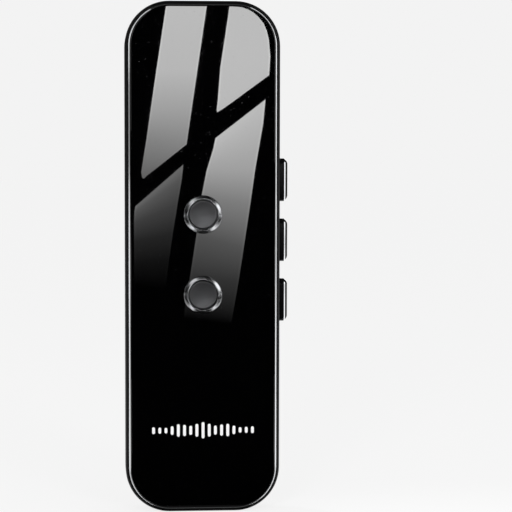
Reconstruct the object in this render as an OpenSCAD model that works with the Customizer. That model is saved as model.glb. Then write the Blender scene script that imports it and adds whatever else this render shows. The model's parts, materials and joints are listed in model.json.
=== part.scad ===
// Handheld voice translator: a slim bar with a glossy front panel, two round front buttons with
// metal rings, three side buttons and a speaker behind a drilled grille in the back cover.
//
// Every piece is drawn lying on its back: x across, y along the body from its bottom end, and z
// from the middle of its thickness towards the front panel. stand() then turns it upright, so the
// finished part stands on its bottom end with its front facing -Y. All sizes are in millimetres.

/* [Body] */
// Width across the body, without the side buttons
body_w = 42.4; // [41:0.1:50]
// Length from the bottom end to the top end
body_l = 140; // [136:1:170]
// Thickness from the front panel's face to the back cover's face
body_d = 11; // [10.8:0.1:14]
// Radius of the four corners, seen from the front
corner_r = 12.2; // [10.5:0.1:14]
// Side wall of the middle frame
wall_t = 2.2; // [1.8:0.1:2.4]
// Rounding of the frame's outer edges
edge_r = 1.5; // [1:0.1:1.8]
// Black lip of the frame that shows outside each bright trim
lip_w = 0.86; // [0.6:0.02:1.0]
// How far a lip lies behind the face beside it
lip_drop = 0.64; // [0.5:0.02:0.9]
// Plate of the frame that carries the front panel
deck_t = 1.0; // [0.8:0.1:1.2]

/* [Covers and trims] */
// Front panel thickness
panel_t = 1.0; // [0.8:0.1:1.2]
// Rounding of the front panel's edge
panel_edge_r = 0.3; // [0.1:0.05:0.5]
// Die-cut tape between the front panel and the frame
panel_tape_t = 0.15; // [0.1:0.05:0.3]
// Width of the tape's border
panel_tape_w = 3.2; // [2:0.1:5]
// Width of the tape around each ring and each screw
tape_collar_w = 1.5; // [1:0.1:2.5]
// Back cover thickness
cover_t = 1.2; // [1:0.1:1.6]
// Width of the soft edge around the back cover's face
cover_edge_w = 0.8; // [0.4:0.1:1.4]
// How far that soft edge falls away
cover_edge_drop = 0.35; // [0.1:0.05:0.5]
// Locating skirt inside the back cover
skirt_h = 1.0; // [0.6:0.1:2]
// Thickness of that skirt
skirt_t = 0.8; // [0.6:0.1:1.2]
// Width of a bright trim ring
trim_w = 0.42; // [0.3:0.02:0.6]
// How deep a trim ring's foot sits in the frame
trim_foot = 0.6; // [0.3:0.1:1]
// Step down from the frame's lip to a trim's outer edge
trim_step = 0.06; // [0.02:0.02:0.14]

/* [Speaker grille] */
// Hole diameter
grille_hole_d = 1.6; // [1:0.1:2.2]
// From the top end to the grille's centre
grille_from_top = 31.8; // [28:0.2:36]
// Distance of the inner, middle and outer columns from the centre line
grille_column_x = [1.57, 4.34, 7.4];
// Number of holes in an inner, a middle and an outer column
grille_column_n = [6, 5, 3];
// Pitch along an inner, a middle and an outer column
grille_column_pitch = [3.75, 3.12, 3.12];

/* [Front buttons] */
// Height of the middle between the two buttons above the body's middle
front_button_rise = 1; // [-4:0.2:4]
// Distance between the two buttons
front_button_pitch = 22; // [16:0.2:28]
// Diameter of the button's face
button_d = 7.8; // [6:0.1:9]
// How far the button's face stands out of the front panel
button_proud = 0.08; // [0:0.02:0.2]
// Retaining flange under the frame's plate, beyond the hole on each side
button_flange_w = 0.8; // [0.5:0.1:1.2]
// Thickness of that flange
button_flange_t = 0.6; // [0.4:0.1:0.8]
// Radius of the shallow dish in the button's face
button_dish_r = 30; // [20:1:60]
// Gap between a button and the hole or ring around it
button_gap = 0.2; // [0.1:0.05:0.3]
// How far a front button travels
front_travel = 0.35; // [0.2:0.05:0.4]
// Width of the metal ring around a button
ring_w = 1.1; // [0.8:0.05:1.6]
// Height of a ring's crest above the front panel
ring_proud = 0.35; // [0.1:0.05:0.6]
// Height of a ring's rim above the front panel
ring_rim_proud = 0.08; // [0:0.02:0.1]
// Width of the flat crest beside a ring's bore
ring_crest_w = 0.2; // [0.1:0.05:0.4]

/* [Side buttons] */
// Height of the middle side button above the body's middle
side_button_rise = 4.8; // [-4:0.1:6]
// Distance between neighbouring side buttons
side_button_pitch = 16.6; // [14:0.1:18]
// Length of a side button
side_button_l = 11.8; // [9:0.1:13]
// Width of a side button, which is also the diameter of its round ends
side_button_w = 3.3; // [2.8:0.1:3.6]
// How far a side button stands out of the frame
side_button_proud = 2.5; // [1.7:0.1:2.6]
// Width of the chamfer around a side button's face
side_button_edge = 0.34; // [0.2:0.02:0.5]
// How far the face bulges out of that chamfer
side_button_bulge = 0.7; // [0.2:0.02:0.8]
// Retaining flange, beyond the button's outline on each side
side_flange_w = 0.6; // [0.4:0.1:0.8]
// Thickness of that flange
side_flange_t = 0.7; // [0.5:0.1:0.9]
// Gap between a side button and its slot in the frame
side_gap = 0.1; // [0.05:0.05:0.2]
// How far a side button travels
side_travel = 0.35; // [0.2:0.05:0.4]

/* [Push switches] */
// Side of a front push switch's square body
switch_w = 4.5; // [4:0.1:6]
// Height from the board to the top of the plunger
switch_h = 1.5; // [1.4:0.1:1.6]
// Diameter of a front switch's plunger
plunger_d = 2.0; // [1.5:0.1:2.4]
// Length of a plunger
plunger_l = 0.9; // [0.8:0.1:1]
// Side switch, along the board's edge, across it and through its thickness
side_switch_size = [2.7, 4.6, 1.7];
// Diameter of a side switch's plunger
side_plunger_d = 1.0; // [0.8:0.1:1.2]
// Length of a side switch's plunger
side_plunger_l = 1.4; // [1.2:0.1:1.6]
// Gap around a plunger
plunger_gap = 0.08; // [0.05:0.01:0.15]

/* [Main board] */
// Board thickness
board_t = 1.0; // [0.8:0.1:1.2]
// Gap between the board's edge and the frame's wall
board_gap = 2.0; // [1.9:0.1:3]
// Gap between the board's lower end and the frame's wall
board_end_gap = 1.0; // [0.8:0.1:2]
// Half width of the board's narrow lower end, between the corner bosses
board_tail_half_w = 10.6; // [10:0.1:11]
// Where the board widens, measured from its lower end
board_tail_l = 8.3; // [8:0.1:12]

/* [Battery] */
// Length of the cell
battery_l = 58; // [40:1:64]
// Gap between the cell and the screw bosses beside it
battery_gap = 0.85; // [0.6:0.05:2]
// From the board's upper end to the cell
battery_from_top = 9.1; // [9.1:0.1:14]
// Foam pad between the cell and the back cover
battery_foam_t = 0.25; // [0.15:0.05:0.5]
// Rounding of the cell's long edges
battery_edge_r = 1.2; // [0.5:0.1:1.5]
// Tape between the cell and the board
battery_tape_t = 0.15; // [0.1:0.05:0.2]

/* [Speaker] */
// Speaker diameter
speaker_d = 22.8; // [22:0.2:24]
// Depth from the speaker's rim to the back of its yoke
speaker_depth = 3.8; // [3.6:0.1:4]
// Foam gasket between the speaker and the back cover
gasket_t = 0.3; // [0.2:0.05:0.5]
// Dust mesh over the grille holes
mesh_t = 0.1; // [0.05:0.05:0.2]
// How far the cone moves each way
cone_travel = 0.3; // [0.1:0.05:0.3]

/* [Charging port] */
// Outside width and height of the receptacle's shell
usb_size = [8.94, 3.16];
// Wall of that shell
usb_wall = 0.3; // [0.2:0.05:0.4]
// Length of the shell
usb_l = 7.3; // [6.5:0.1:8]
// How far the shell's mouth sits inside the bottom end
usb_recess = 0.4; // [0.2:0.1:0.8]
// Gap between the shell and the slot in the frame
usb_gap = 0.15; // [0.1:0.05:0.3]
// Depth of the wider lead-in around the slot
usb_lead_in = 0.3; // [0.1:0.1:0.6]

/* [Microphone and light] */
// Distance of the microphone's hole and the charging light from the centre line
port_side_x = 7.9; // [7.8:0.1:8.4]
// Microphone capsule diameter
mic_d = 4.0; // [3.6:0.1:4.2]
// Microphone capsule length
mic_l = 1.5; // [1.2:0.1:2]
// Rubber boot's wall
boot_wall = 0.6; // [0.4:0.1:0.7]
// Microphone hole diameter
mic_hole_d = 1.2; // [0.8:0.1:1.6]
// Light pipe diameter
light_pipe_d = 1.2; // [1:0.1:1.6]

/* [Screws] */
// Shank diameter of the case screws
case_screw_d = 1.6; // [1.4:0.1:1.8]
// Head diameter of the case screws
case_head_d = 3.0; // [2.6:0.1:3.2]
// Length of the case screws
case_screw_l = 5.2; // [4.5:0.1:6]
// Wall of the bosses around the case screws
boss_wall = 1.1; // [0.9:0.1:1.15]
// Shank diameter of the board screws
board_screw_d = 1.4; // [1.2:0.1:1.6]
// Head diameter of the board screws
board_head_d = 2.6; // [2.4:0.1:2.8]
// Length of the board screws
board_screw_l = 3.0; // [2.6:0.1:3.4]
// Gap around a screw in its boss
screw_gap = 0.05; // [0.03:0.01:0.1]

/* [Hidden] */
$fn = 64;

past = 1;          // how far a cut runs past the face that it opens
fit = 0.05;        // gap of a seam, and of a flange at rest under its stop
soft_fit = 0.02;   // gap of a glued joint, such as a trim's foot in its groove

// Levels through the thickness
face_z = body_d / 2;
panel_z = face_z - panel_t;
deck_z = panel_z - panel_tape_t;
deck_back_z = deck_z - deck_t;
cover_z = -face_z + cover_t;
board_z = board_t / 2;
lip_z = face_z - lip_drop;
round_z = lip_z - sqrt(pow(edge_r, 2) - pow(edge_r - lip_w, 2));

// Insets from the silhouette
seam = lip_w + trim_w;
cover_inset = seam + fit;
inner_half_w = body_w / 2 - wall_t;
tape_edge_gap = 0.3;

// Front buttons
front_button_y = body_l / 2 + front_button_rise;
front_button_ys = [for (side = [1, -1]) front_button_y + side * front_button_pitch / 2];
button_r = button_d / 2;
button_bore_r = button_r + button_gap;
button_top_z = face_z + button_proud;
button_edge = 0.15;
button_nub_r = 1.2;
ring_r = button_bore_r + ring_w;
ring_z = face_z + ring_proud;
ring_bevel = 0.1;
flange_z = deck_back_z - fit;
plunger_z = board_z + switch_h;
switch_body_h = switch_h - front_travel - fit;

// Side buttons: the flange rests against the frame's inner wall
side_button_y = body_l / 2 + side_button_rise;
side_button_ys = [for (k = [1, 0, -1]) side_button_y + k * side_button_pitch];
side_button_tip = body_w / 2 + side_button_proud;
side_face_w = side_button_w / 2 - side_button_edge;
side_face_r = (pow(side_face_w, 2) + pow(side_button_bulge, 2)) / (2 * side_button_bulge);
side_face_steps = 5;
side_flange_x = inner_half_w - fit;
side_flange_l = side_button_l + 2 * side_flange_w;
side_nub_d = side_plunger_d + 0.8;
side_nub_l = side_travel + 0.3;
side_plunger_x = side_flange_x - side_flange_t - side_nub_l;
side_switch_x = side_plunger_x - side_travel - 0.35;

// Speaker, with levels measured from its rim towards the front panel
speaker_r = speaker_d / 2;
speaker_y = body_l - grille_from_top;
speaker_z = cover_z + mesh_t + gasket_t;
speaker_gap = 0.1;
speaker_rib_t = 0.8;
speaker_rib_h = 1.9;
basket_wall = 2.0;
basket_lip = 1.45;
basket_ledge = 0.82;
basket_floor = [1.4, 2.0];
yoke_r = 5.9;
yoke_t = 0.6;
yoke_seat = 0.2;
magnet_r = 4.4;
magnet_top = 1.4;
coil_gap = 0.2;
coil_r = [magnet_r + coil_gap, yoke_r - yoke_t - coil_gap];
coil_l = 1.7;
cone_r = speaker_r - 2.9;
cone_level = 0.7;
cone_t = 0.15;
dome_r = coil_r[1] + 0.2;
dome_h = 0.35;
roll_r = 0.4;
roll_t = 0.12;

// Main board
board_half_w = inner_half_w - board_gap;
board_y0 = wall_t + board_end_gap;
board_y1 = speaker_y - speaker_r - 0.7;

// Case screws: they run from under the front panel into the back cover's bosses
boss_r = case_screw_d / 2 + screw_gap + boss_wall;
boss_edge_gap = 0.7;
boss_corner = (corner_r - wall_t - boss_r - boss_edge_gap) / sqrt(2);
boss_corner_x = body_w / 2 - corner_r + boss_corner;
boss_side_x = inner_half_w - boss_r - boss_edge_gap - fit;
boss_reach = side_flange_l / 2 + boss_r + 0.3;
case_screw_at = [for (side = [-1, 1]) each [
    [side * boss_corner_x, corner_r - boss_corner],
    [side * boss_side_x, side_button_ys[2] - boss_reach],
    [side * boss_side_x, side_button_ys[0] + boss_reach],
    [side * boss_corner_x, body_l - corner_r + boss_corner]
]];
boss_joint_z = 1.5;
case_head_h = 0.7;
case_head_z = deck_z - 0.1;
case_screw_room = 0.8;

// Board screws: they run from the board's back into the frame's bosses
board_boss_r = 1.7;
board_head_h = 0.8;
board_top_screw_x = board_half_w - 6;
board_screw_at = [for (side = [-1, 1]) each [
    [side * (board_half_w - 3), board_y0 + board_tail_l + 3],
    [side * board_top_screw_x, board_y1 - 2.8]
]];
board_top_half_w = board_top_screw_x - board_boss_r;

// Battery, which is taped to the back of the board
battery_half_w = boss_side_x - boss_r - battery_gap;
battery_top_y = board_y1 - battery_from_top;
battery_y = battery_top_y - battery_l;
battery_z = -board_z - battery_tape_t;
battery_back_z = cover_z + battery_foam_t;
battery_pad_inset = [3, 4];
protection_size = [22, 2.2, 1.0];
header_size = [4.6, 4.2, 2.0];
header_y = battery_top_y + protection_size[1] + 3.6;
plug_size = [3, 3.4, 1.2];
battery_lead_z = battery_z - 1.1;

// Charging port
usb_inner = [for (size = usb_size) size - 2 * usb_wall];
tongue_size = [6.69, 0.7];
tongue_from_mouth = 1.0;
usb_block_l = 1.6;
contact_size = [0.25, 3.6, 0.05];
contact_pitch = 0.5;
contact_n = 12;

// Microphone and light
boot_r = mic_d / 2 + boot_wall;
boot_l = mic_l + 1.0;
mic_room = 1.2;
light_block = [1.8, 0.6];

// Parts on the front of the board: place across and along, and width, length and height
radio_at = [-9, front_button_y];
radio_size = [6, 6, 0.85];
crystal_size = [3.2, 2.5, 0.7];
memory_at = [7.5, front_button_y - 1];
memory_size = [5, 5.3, 1.6];
amplifier_size = [3, 3, 0.75];
amplifier_boss_gap = 2.3;
amplifier_at = [board_top_half_w - amplifier_boss_gap - amplifier_size[0] / 2, board_y1 - 5];
antenna_size = [7, 2, 1.2];
antenna_boss_gap = 0.8;
antenna_at = [antenna_boss_gap + antenna_size[0] / 2 - board_top_half_w, board_y1 - 1.6];
charger_at = [0, board_y0 + 12.5];
charger_size = [3, 1.7, 1.1];
inductor_at = [6, board_y0 + 15];
inductor_size = [4, 4, 2];
led_at = [port_side_x, board_y0 + 0.6];
led_size = [1.6, 0.8, 0.7];
light_block_h = light_pipe_d / 2 + board_z + led_size[2];

// Rows of small parts on the board: the first one's place, the step to the next, and how many. They
// stand beside the radio chip, above it, beside the charger and beside the amplifier.
passive_size = [0.8, 1.6, 0.8];
passive_rows = [
    [radio_at + [-4.5, -7.5], [0, 3], 6],
    [radio_at + [-3, 6], [2, 0], 4],
    [charger_at + [-9, 4.5], [2, 0], 5],
    [amplifier_at + [-14.5, -3.6], [2, 0], 4]
];

// Leads: points chosen by hand, across, along and through the thickness
battery_lead_d = 0.9;
battery_lead_from = [-header_size[0] / 2 - plug_size[0], header_y - 3.6, battery_lead_z];
red_lead_route = [[-2.2, 0, 0], [-2.2, 0.8, 0], [-2, 1.9, 0], [-1.3, 2.8, 0], [-0.6, 3, 0], [0, 3, 0]];
black_lead_route = [
    [-3.4, 0, 0], [-3.4, 1.2, 0], [-3.1, 2.8, 0], [-2.1, 3.9, 0], [-1, 4.2, 0], [0, 4.2, 0]
];
speaker_lead_d = 0.7;
speaker_lead_x = [3.6, 5.0];
speaker_lead_low = speaker_z + basket_floor[1] + speaker_lead_d / 2;
speaker_lead_high = -board_z - speaker_lead_d / 2;
speaker_lead_route = [[3.5, 1], [2.4, 1], [1.2, 0.8], [0, 0.25], [-0.9, 0], [-2, 0]];
mic_lead_d = 0.5;
mic_lead_x = 0.9;
mic_lead_high = board_z + mic_lead_d / 2;
mic_lead_route = [
    [0, 0, 0], [0, 0.35, 0.05], [0, 0.8, 0.5], [0, 1.2, mic_lead_high + 0.15],
    [0, 1.8, mic_lead_high + 0.15], [0, 2.4, mic_lead_high], [0, 3.2, mic_lead_high]
];

// Stands a piece drawn on its back on its bottom end
module stand() {
    rotate([90, 0, 0]) children();
}

// The body's outline, drawn in by inset
module outline(inset = 0) {
    r = corner_r - inset;
    half = [body_w / 2 - corner_r, body_l / 2 - corner_r];
    translate([0, body_l / 2]) {
        square([2 * half[0] + 2 * r, 2 * half[1]], center = true);
        square([2 * half[0], 2 * half[1] + 2 * r], center = true);
        for (x = [-1, 1], y = [-1, 1])
            translate([x * half[0], y * half[1]]) circle(r);
    }
}

// A piece at the top end, and its mirror image at the bottom end
module both_ends() {
    for (end = [0, 1])
        translate([0, body_l / 2, 0]) mirror([0, end, 0]) translate([0, -body_l / 2, 0]) children();
}

// Carries a section around the body's outline. In the section x = 0 is the silhouette, negative x
// is inside it, and y is the height through the thickness.
module around() {
    long = body_l - 2 * corner_r;
    wide = body_w - 2 * corner_r;
    for (side = [0, 1]) mirror([side, 0, 0]) {
        translate([body_w / 2, body_l - corner_r, 0])
            rotate([90, 0, 0]) linear_extrude(long) children();
        both_ends() translate([body_w / 2 - corner_r, body_l - corner_r, 0])
            rotate_extrude(angle = 90) translate([corner_r, 0]) children();
    }
    both_ends() translate([-wide / 2, body_l, 0])
        rotate([90, 0, 90]) linear_extrude(wide) children();
}

// A rectangle between two corners
module between(low, high) {
    translate(low) square(high - low);
}

// A slot with round ends, long in x
module slot_2d(length, width) {
    square([length - width, width], center = true);
    for (side = [-1, 1])
        translate([side * (length - width) / 2, 0]) circle(d = width);
}

// Raises a flat shape along x, with its own x along the body and its own y through the thickness
module along_x(length) {
    rotate([90, 0, 90]) linear_extrude(length) children();
}

// Raises a flat shape along y, with its own x across the body and its own y through the thickness
module along_y(length) {
    translate([0, length, 0]) rotate([90, 0, 0]) linear_extrude(length) children();
}

// A flat shape between two levels through the thickness
module slab(low, high) {
    translate([0, 0, low]) linear_extrude(high - low) children();
}

// A round bar between two levels through the thickness
module post(r, low, high) {
    translate([0, 0, low]) cylinder(r = r, h = high - low);
}

module at_each(places) {
    for (place = places) translate(place) children();
}

// ---- Housing ----

// The frame's side wall: round outer edges, and a rebate at each face for its trim and cover
module wall_section() {
    difference() {
        union() {
            between([-wall_t, -round_z], [0, round_z]);
            between([-wall_t, -lip_z], [-edge_r, lip_z]);
            for (face = [-1, 1]) intersection() {
                translate([-edge_r, face * round_z]) circle(edge_r);
                between([-edge_r, -lip_z], [0, lip_z]);
            }
        }
        between([-wall_t - past, deck_z], [-lip_w, face_z]);
        between([-wall_t - past, -face_z], [-lip_w, cover_z]);
        groove_section(deck_z);
        mirror([0, 1]) groove_section(-cover_z);
    }
}

// The groove for a trim's foot, in the rebate whose seat is at the given level
module groove_section(seat_z) {
    between([-seam - soft_fit, seat_z - trim_foot], [-lip_w, seat_z + past]);
}

// A trim: a thin ring with its foot in the groove and a bright chamfer beside the lip
module trim_section(seat_z) {
    foot_z = seat_z - trim_foot + soft_fit;
    shoulder_z = lip_z - trim_step;
    polygon([[-seam, foot_z], [-lip_w, foot_z], [-lip_w, shoulder_z], [-seam, shoulder_z + trim_w]]);
}

module side_button_slots() {
    for (y = side_button_ys)
        translate([inner_half_w - past, y, 0])
            along_x(wall_t + 2 * past)
                slot_2d(side_button_l + 2 * side_gap, side_button_w + 2 * side_gap);
}

// The charging slot with its wider mouth, the microphone's hole and the hole of the light pipe
module bottom_end_openings() {
    through = wall_t + 2 * past;
    translate([0, -past, 0]) {
        along_y(through) slot_2d(usb_size[0] + 2 * usb_gap, usb_size[1] + 2 * usb_gap);
        along_y(past + usb_lead_in) slot_2d(usb_size[0] + 4 * usb_gap, usb_size[1] + 4 * usb_gap);
        translate([-port_side_x, 0, 0]) along_y(through) circle(d = mic_hole_d);
        translate([port_side_x, 0, 0]) along_y(through) circle(d = light_pipe_d + 2 * fit);
    }
}

// Flat seats for the microphone's boot and the light pipe's block, where the inner wall turns
module bottom_end_seats() {
    translate([-port_side_x, wall_t, 0]) along_y(boot_l) circle(boot_r + fit);
    translate([port_side_x - light_block[0] / 2 - fit, wall_t, -light_pipe_d / 2 - fit])
        cube([light_block[0] + 2 * fit, boot_l, light_block_h + 2 * fit]);
}

// Where a case screw passes through the frame: its shank, its sunk head and the way to them
module case_screw_hole() {
    shank_r = case_screw_d / 2 + screw_gap;
    head_r = case_head_d / 2 + screw_gap;
    post(shank_r, boss_joint_z - past, deck_z + past);
    translate([0, 0, case_head_z - case_head_h]) cylinder(r1 = shank_r, r2 = head_r, h = case_head_h);
    post(head_r, case_head_z, deck_z + past);
}

module mid_frame() {
    color("#0b0b0d") stand() difference() {
        union() {
            around() wall_section();
            slab(deck_back_z, deck_z) outline(wall_t - fit);
            at_each(case_screw_at) post(boss_r, boss_joint_z, deck_back_z + fit);
            at_each(board_screw_at) post(board_boss_r, board_z, deck_back_z + fit);
        }
        side_button_slots();
        bottom_end_openings();
        bottom_end_seats();
        at_each(case_screw_at) case_screw_hole();
        for (y = front_button_ys)
            translate([0, y, 0]) post(button_bore_r, deck_back_z - past, deck_z + past);
        at_each(board_screw_at)
            post(board_screw_d / 2 + screw_gap, board_z - past, board_screw_l - board_z);
    }
}

module front_trim() {
    color("silver") stand() around() trim_section(deck_z);
}

module rear_trim() {
    color("silver") stand() around() mirror([0, 1]) trim_section(-cover_z);
}

// The front panel's edge, rounded towards its face
module panel_edge_section() {
    width = 2 * panel_edge_r + 1;
    between([-cover_inset - width, panel_z], [-cover_inset, face_z - panel_edge_r]);
    between([-cover_inset - width, panel_z], [-cover_inset - panel_edge_r, face_z]);
    translate([-cover_inset - panel_edge_r, face_z - panel_edge_r]) circle(panel_edge_r);
}

module front_panel() {
    color("#050506") stand() difference() {
        union() {
            around() panel_edge_section();
            slab(panel_z, face_z) outline(cover_inset + panel_edge_r + fit);
        }
        for (y = front_button_ys)
            translate([0, y, 0]) post(ring_r + fit, panel_z - past, face_z + past);
    }
}

// A border with a collar around each ring and each screw
module front_panel_tape() {
    color("#2b2b2e") stand() slab(deck_z, panel_z) difference() {
        outline(cover_inset + tape_edge_gap);
        difference() {
            outline(cover_inset + panel_tape_w);
            for (y = front_button_ys) translate([0, y]) circle(ring_r + tape_collar_w);
            at_each(case_screw_at) circle(case_head_d / 2 + tape_collar_w);
        }
        for (y = front_button_ys) translate([0, y]) circle(ring_r + fit);
    }
}

// The back cover's edge: a soft fall from its face, as an arc that leaves the face flush
module cover_edge_section() {
    arc_r = (pow(cover_edge_w, 2) + pow(cover_edge_drop, 2)) / (2 * cover_edge_drop);
    outer = -cover_inset;
    flat = outer - cover_edge_w;
    between([flat - 2, -face_z], [flat, cover_z]);
    intersection() {
        between([flat, -face_z], [outer, cover_z]);
        translate([flat, -face_z + arc_r]) circle(arc_r);
    }
}

module grille_holes() {
    for (k = [0:len(grille_column_x) - 1], side = [-1, 1])
        for (row = [0:grille_column_n[k] - 1])
            translate([
                side * grille_column_x[k],
                speaker_y + (row - (grille_column_n[k] - 1) / 2) * grille_column_pitch[k],
                0
            ]) post(grille_hole_d / 2, -face_z - past, cover_z + past);
}

// The skirt that centres the back cover in the frame. It is open at the bottom end.
module cover_skirt() {
    skirt_inset = wall_t + 2 * fit;
    slab(cover_z - fit, cover_z + skirt_h) difference() {
        outline(skirt_inset);
        outline(skirt_inset + skirt_t);
        between([-port_side_x - boot_r - past, 0], [port_side_x + boot_r + past, corner_r - wall_t]);
    }
}

// The wall around the speaker
module speaker_rib() {
    inner_r = speaker_r + speaker_gap;
    translate([0, speaker_y, 0]) difference() {
        post(inner_r + speaker_rib_t, cover_z - fit, cover_z + speaker_rib_h);
        post(inner_r, cover_z, cover_z + speaker_rib_h + past);
    }
}

module back_cover() {
    bore_end = case_head_z - case_screw_l - case_screw_room;
    color("#1d1e20") stand() difference() {
        union() {
            around() cover_edge_section();
            slab(-face_z, cover_z) outline(cover_inset + cover_edge_w + fit);
            cover_skirt();
            speaker_rib();
            at_each(case_screw_at) post(boss_r, cover_z - fit, boss_joint_z);
        }
        grille_holes();
        at_each(case_screw_at) post(case_screw_d / 2 + screw_gap, bore_end, boss_joint_z + past);
    }
}

// ---- Front buttons ----

// Ring around a front button: a cone that rises from its rim to a narrow crest beside the bore
module button_ring(y) {
    crest_r = button_bore_r + ring_crest_w;
    color("#b9bbbe") stand() translate([0, y, 0]) rotate_extrude() polygon([
        [button_bore_r, deck_z], [ring_r, deck_z], [ring_r, face_z + ring_rim_proud],
        [crest_r, ring_z], [button_bore_r, ring_z - ring_bevel]
    ]);
}

// A front button: a dished face, a flange under the frame's plate and a nub above its switch
module front_button(y) {
    flange_r = button_bore_r + button_flange_w;
    flange_back_z = flange_z - button_flange_t;
    dish_r = button_r - 2 * button_edge;
    color("#4a4b4e") stand() translate([0, y, 0]) difference() {
        rotate_extrude() polygon([
            [0, plunger_z], [button_nub_r, plunger_z], [button_nub_r, flange_back_z],
            [flange_r, flange_back_z], [flange_r, flange_z], [button_r, flange_z],
            [button_r, button_top_z - button_edge], [button_r - button_edge, button_top_z],
            [0, button_top_z]
        ]);
        translate([0, 0, button_top_z + sqrt(pow(button_dish_r, 2) - pow(dish_r, 2))])
            sphere(button_dish_r, $fn = 128);
    }
}

module front_switch_body(y) {
    bore_end = plunger_z - plunger_l - front_travel - fit;
    color("#232427") stand() translate([0, y, 0]) difference() {
        slab(board_z, board_z + switch_body_h) square(switch_w, center = true);
        post(plunger_d / 2 + plunger_gap, bore_end, plunger_z);
    }
}

module front_switch_plunger(y) {
    color("#d8d4c8") stand() translate([0, y, 0]) post(plunger_d / 2, plunger_z - plunger_l, plunger_z);
}

// ---- Side buttons ----

// Half of a side button's section from its flange out: a stem, a chamfer and a bulging face
module side_button_section() {
    edge_x = side_button_tip - side_button_bulge;
    polygon([
        [0, side_flange_x - fit], [side_button_w / 2, side_flange_x - fit],
        [side_button_w / 2, edge_x - side_button_edge],
        for (k = [side_face_steps:-1:0])
            let (w = side_face_w * k / side_face_steps)
            [w, side_button_tip - side_face_r + sqrt(pow(side_face_r, 2) - pow(w, 2))]
    ]);
}

// A side button: its section carried round a slot, and a flange and a nub inside the frame
module side_button(y) {
    straight = side_button_l - side_button_w;
    color("#0b0b0d") stand() translate([0, y, 0]) {
        rotate([90, 0, 0]) linear_extrude(straight, center = true) rotate(-90) {
            mirror([1, 0]) side_button_section();
            side_button_section();
        }
        for (end = [-1, 1]) translate([0, end * straight / 2, 0])
            rotate([0, 90, 0]) rotate_extrude() side_button_section();
        translate([side_flange_x - side_flange_t, 0, 0])
            along_x(side_flange_t) slot_2d(side_flange_l, side_button_w + 2 * side_flange_w);
        translate([side_plunger_x, 0, 0])
            rotate([0, 90, 0]) cylinder(d = side_nub_d, h = side_nub_l + fit);
    }
}

module side_switch_body(y) {
    size = side_switch_size;
    bore_x = side_plunger_x - side_plunger_l - side_travel - fit;
    color("#232427") stand() translate([0, y, 0]) difference() {
        translate([side_switch_x - size[0], -size[1] / 2, -size[2] / 2]) cube(size);
        translate([bore_x, 0, 0]) rotate([0, 90, 0])
            cylinder(r = side_plunger_d / 2 + plunger_gap, h = side_switch_x - bore_x + past);
    }
}

module side_switch_plunger(y) {
    color("#d8d4c8") stand() translate([side_plunger_x - side_plunger_l, y, 0])
        rotate([0, 90, 0]) cylinder(d = side_plunger_d, h = side_plunger_l);
}

// ---- Main board ----

// The board's outline: a wide plate with a narrow tail between the corner bosses
module board_outline() {
    between([-board_half_w, board_y0 + board_tail_l], [board_half_w, board_y1]);
    between([-board_tail_half_w, board_y0], [board_tail_half_w, board_y0 + board_tail_l + fit]);
}

// Notches in the board's edge for the side switches, the charging port and the microphone
module board_notches() {
    switch_half = side_switch_size[1] / 2 + fit;
    mic_half = boot_r + fit;
    for (y = side_button_ys)
        between([side_switch_x - side_switch_size[0] - fit, y - switch_half], [body_w, y + switch_half]);
    between([-usb_size[0] / 2 - fit, 0], [usb_size[0] / 2 + fit, usb_recess + usb_l + fit]);
    between([-body_w, 0], [-port_side_x + mic_half, wall_t + boot_l + mic_room]);
}

module main_board() {
    color("#123a26") stand() slab(-board_z, board_z) difference() {
        board_outline();
        board_notches();
        at_each(case_screw_at) circle(boss_r + 6 * fit);
        at_each(board_screw_at) circle(board_screw_d / 2 + 3 * fit);
    }
}

// A block on the front of the board
module on_front(at, size) {
    translate([at[0], at[1], board_z]) slab(0, size[2]) square([size[0], size[1]], center = true);
}

module bluetooth_chip() {
    color("#17181a") stand() on_front(radio_at, radio_size);
}

module flash_memory_chip() {
    color("#17181a") stand() on_front(memory_at, memory_size);
}

module audio_amplifier_chip() {
    color("#17181a") stand() on_front(amplifier_at, amplifier_size);
}

module charger_chip() {
    color("#17181a") stand() on_front(charger_at, charger_size);
}

module crystal() {
    color("silver") stand() on_front(radio_at - [0, 6.5], crystal_size);
}

module power_inductor() {
    color("#3a3a3c") stand() on_front(inductor_at, inductor_size);
}

module board_passives() {
    color("tan") stand() for (row = passive_rows, k = [0:row[2] - 1])
        on_front(row[0] + k * row[1], passive_size);
}

module chip_antenna() {
    color("#d9d7cf") stand() on_front(antenna_at, antenna_size);
}

module status_led() {
    color("white") stand() on_front(led_at, led_size);
}

// The light pipe: a round nose through the bottom end, and a block that faces the lamp
module light_pipe() {
    color("#e8eef2") stand() translate([port_side_x, 0, 0]) {
        along_y(wall_t + fit) circle(d = light_pipe_d);
        translate([-light_block[0] / 2, wall_t, -light_pipe_d / 2])
            cube([light_block[0], light_block[1], light_block_h]);
    }
}

// ---- Charging port ----

module usb_shell() {
    color("#c9cbcd") stand() translate([0, usb_recess, 0]) along_y(usb_l) difference() {
        slot_2d(usb_size[0], usb_size[1]);
        slot_2d(usb_inner[0], usb_inner[1]);
    }
}

// The tongue, and the block behind it that closes the shell
module usb_tongue() {
    color("#17181a") stand() translate([0, usb_recess, 0]) {
        translate([0, tongue_from_mouth, 0])
            along_y(usb_l - tongue_from_mouth - fit) square(tongue_size, center = true);
        translate([0, usb_l - usb_block_l - fit, 0])
            along_y(usb_block_l) slot_2d(usb_inner[0], usb_inner[1]);
    }
}

module usb_contacts() {
    first_x = -(contact_n - 1) / 2 * contact_pitch - contact_size[0] / 2;
    contact_y = usb_recess + tongue_from_mouth + 0.4;
    color("gold") stand() for (k = [0:contact_n - 1], face = [0, 1]) mirror([0, 0, face])
        translate([first_x + k * contact_pitch, contact_y, tongue_size[1] / 2]) cube(contact_size);
}

// ---- Microphone ----

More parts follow.
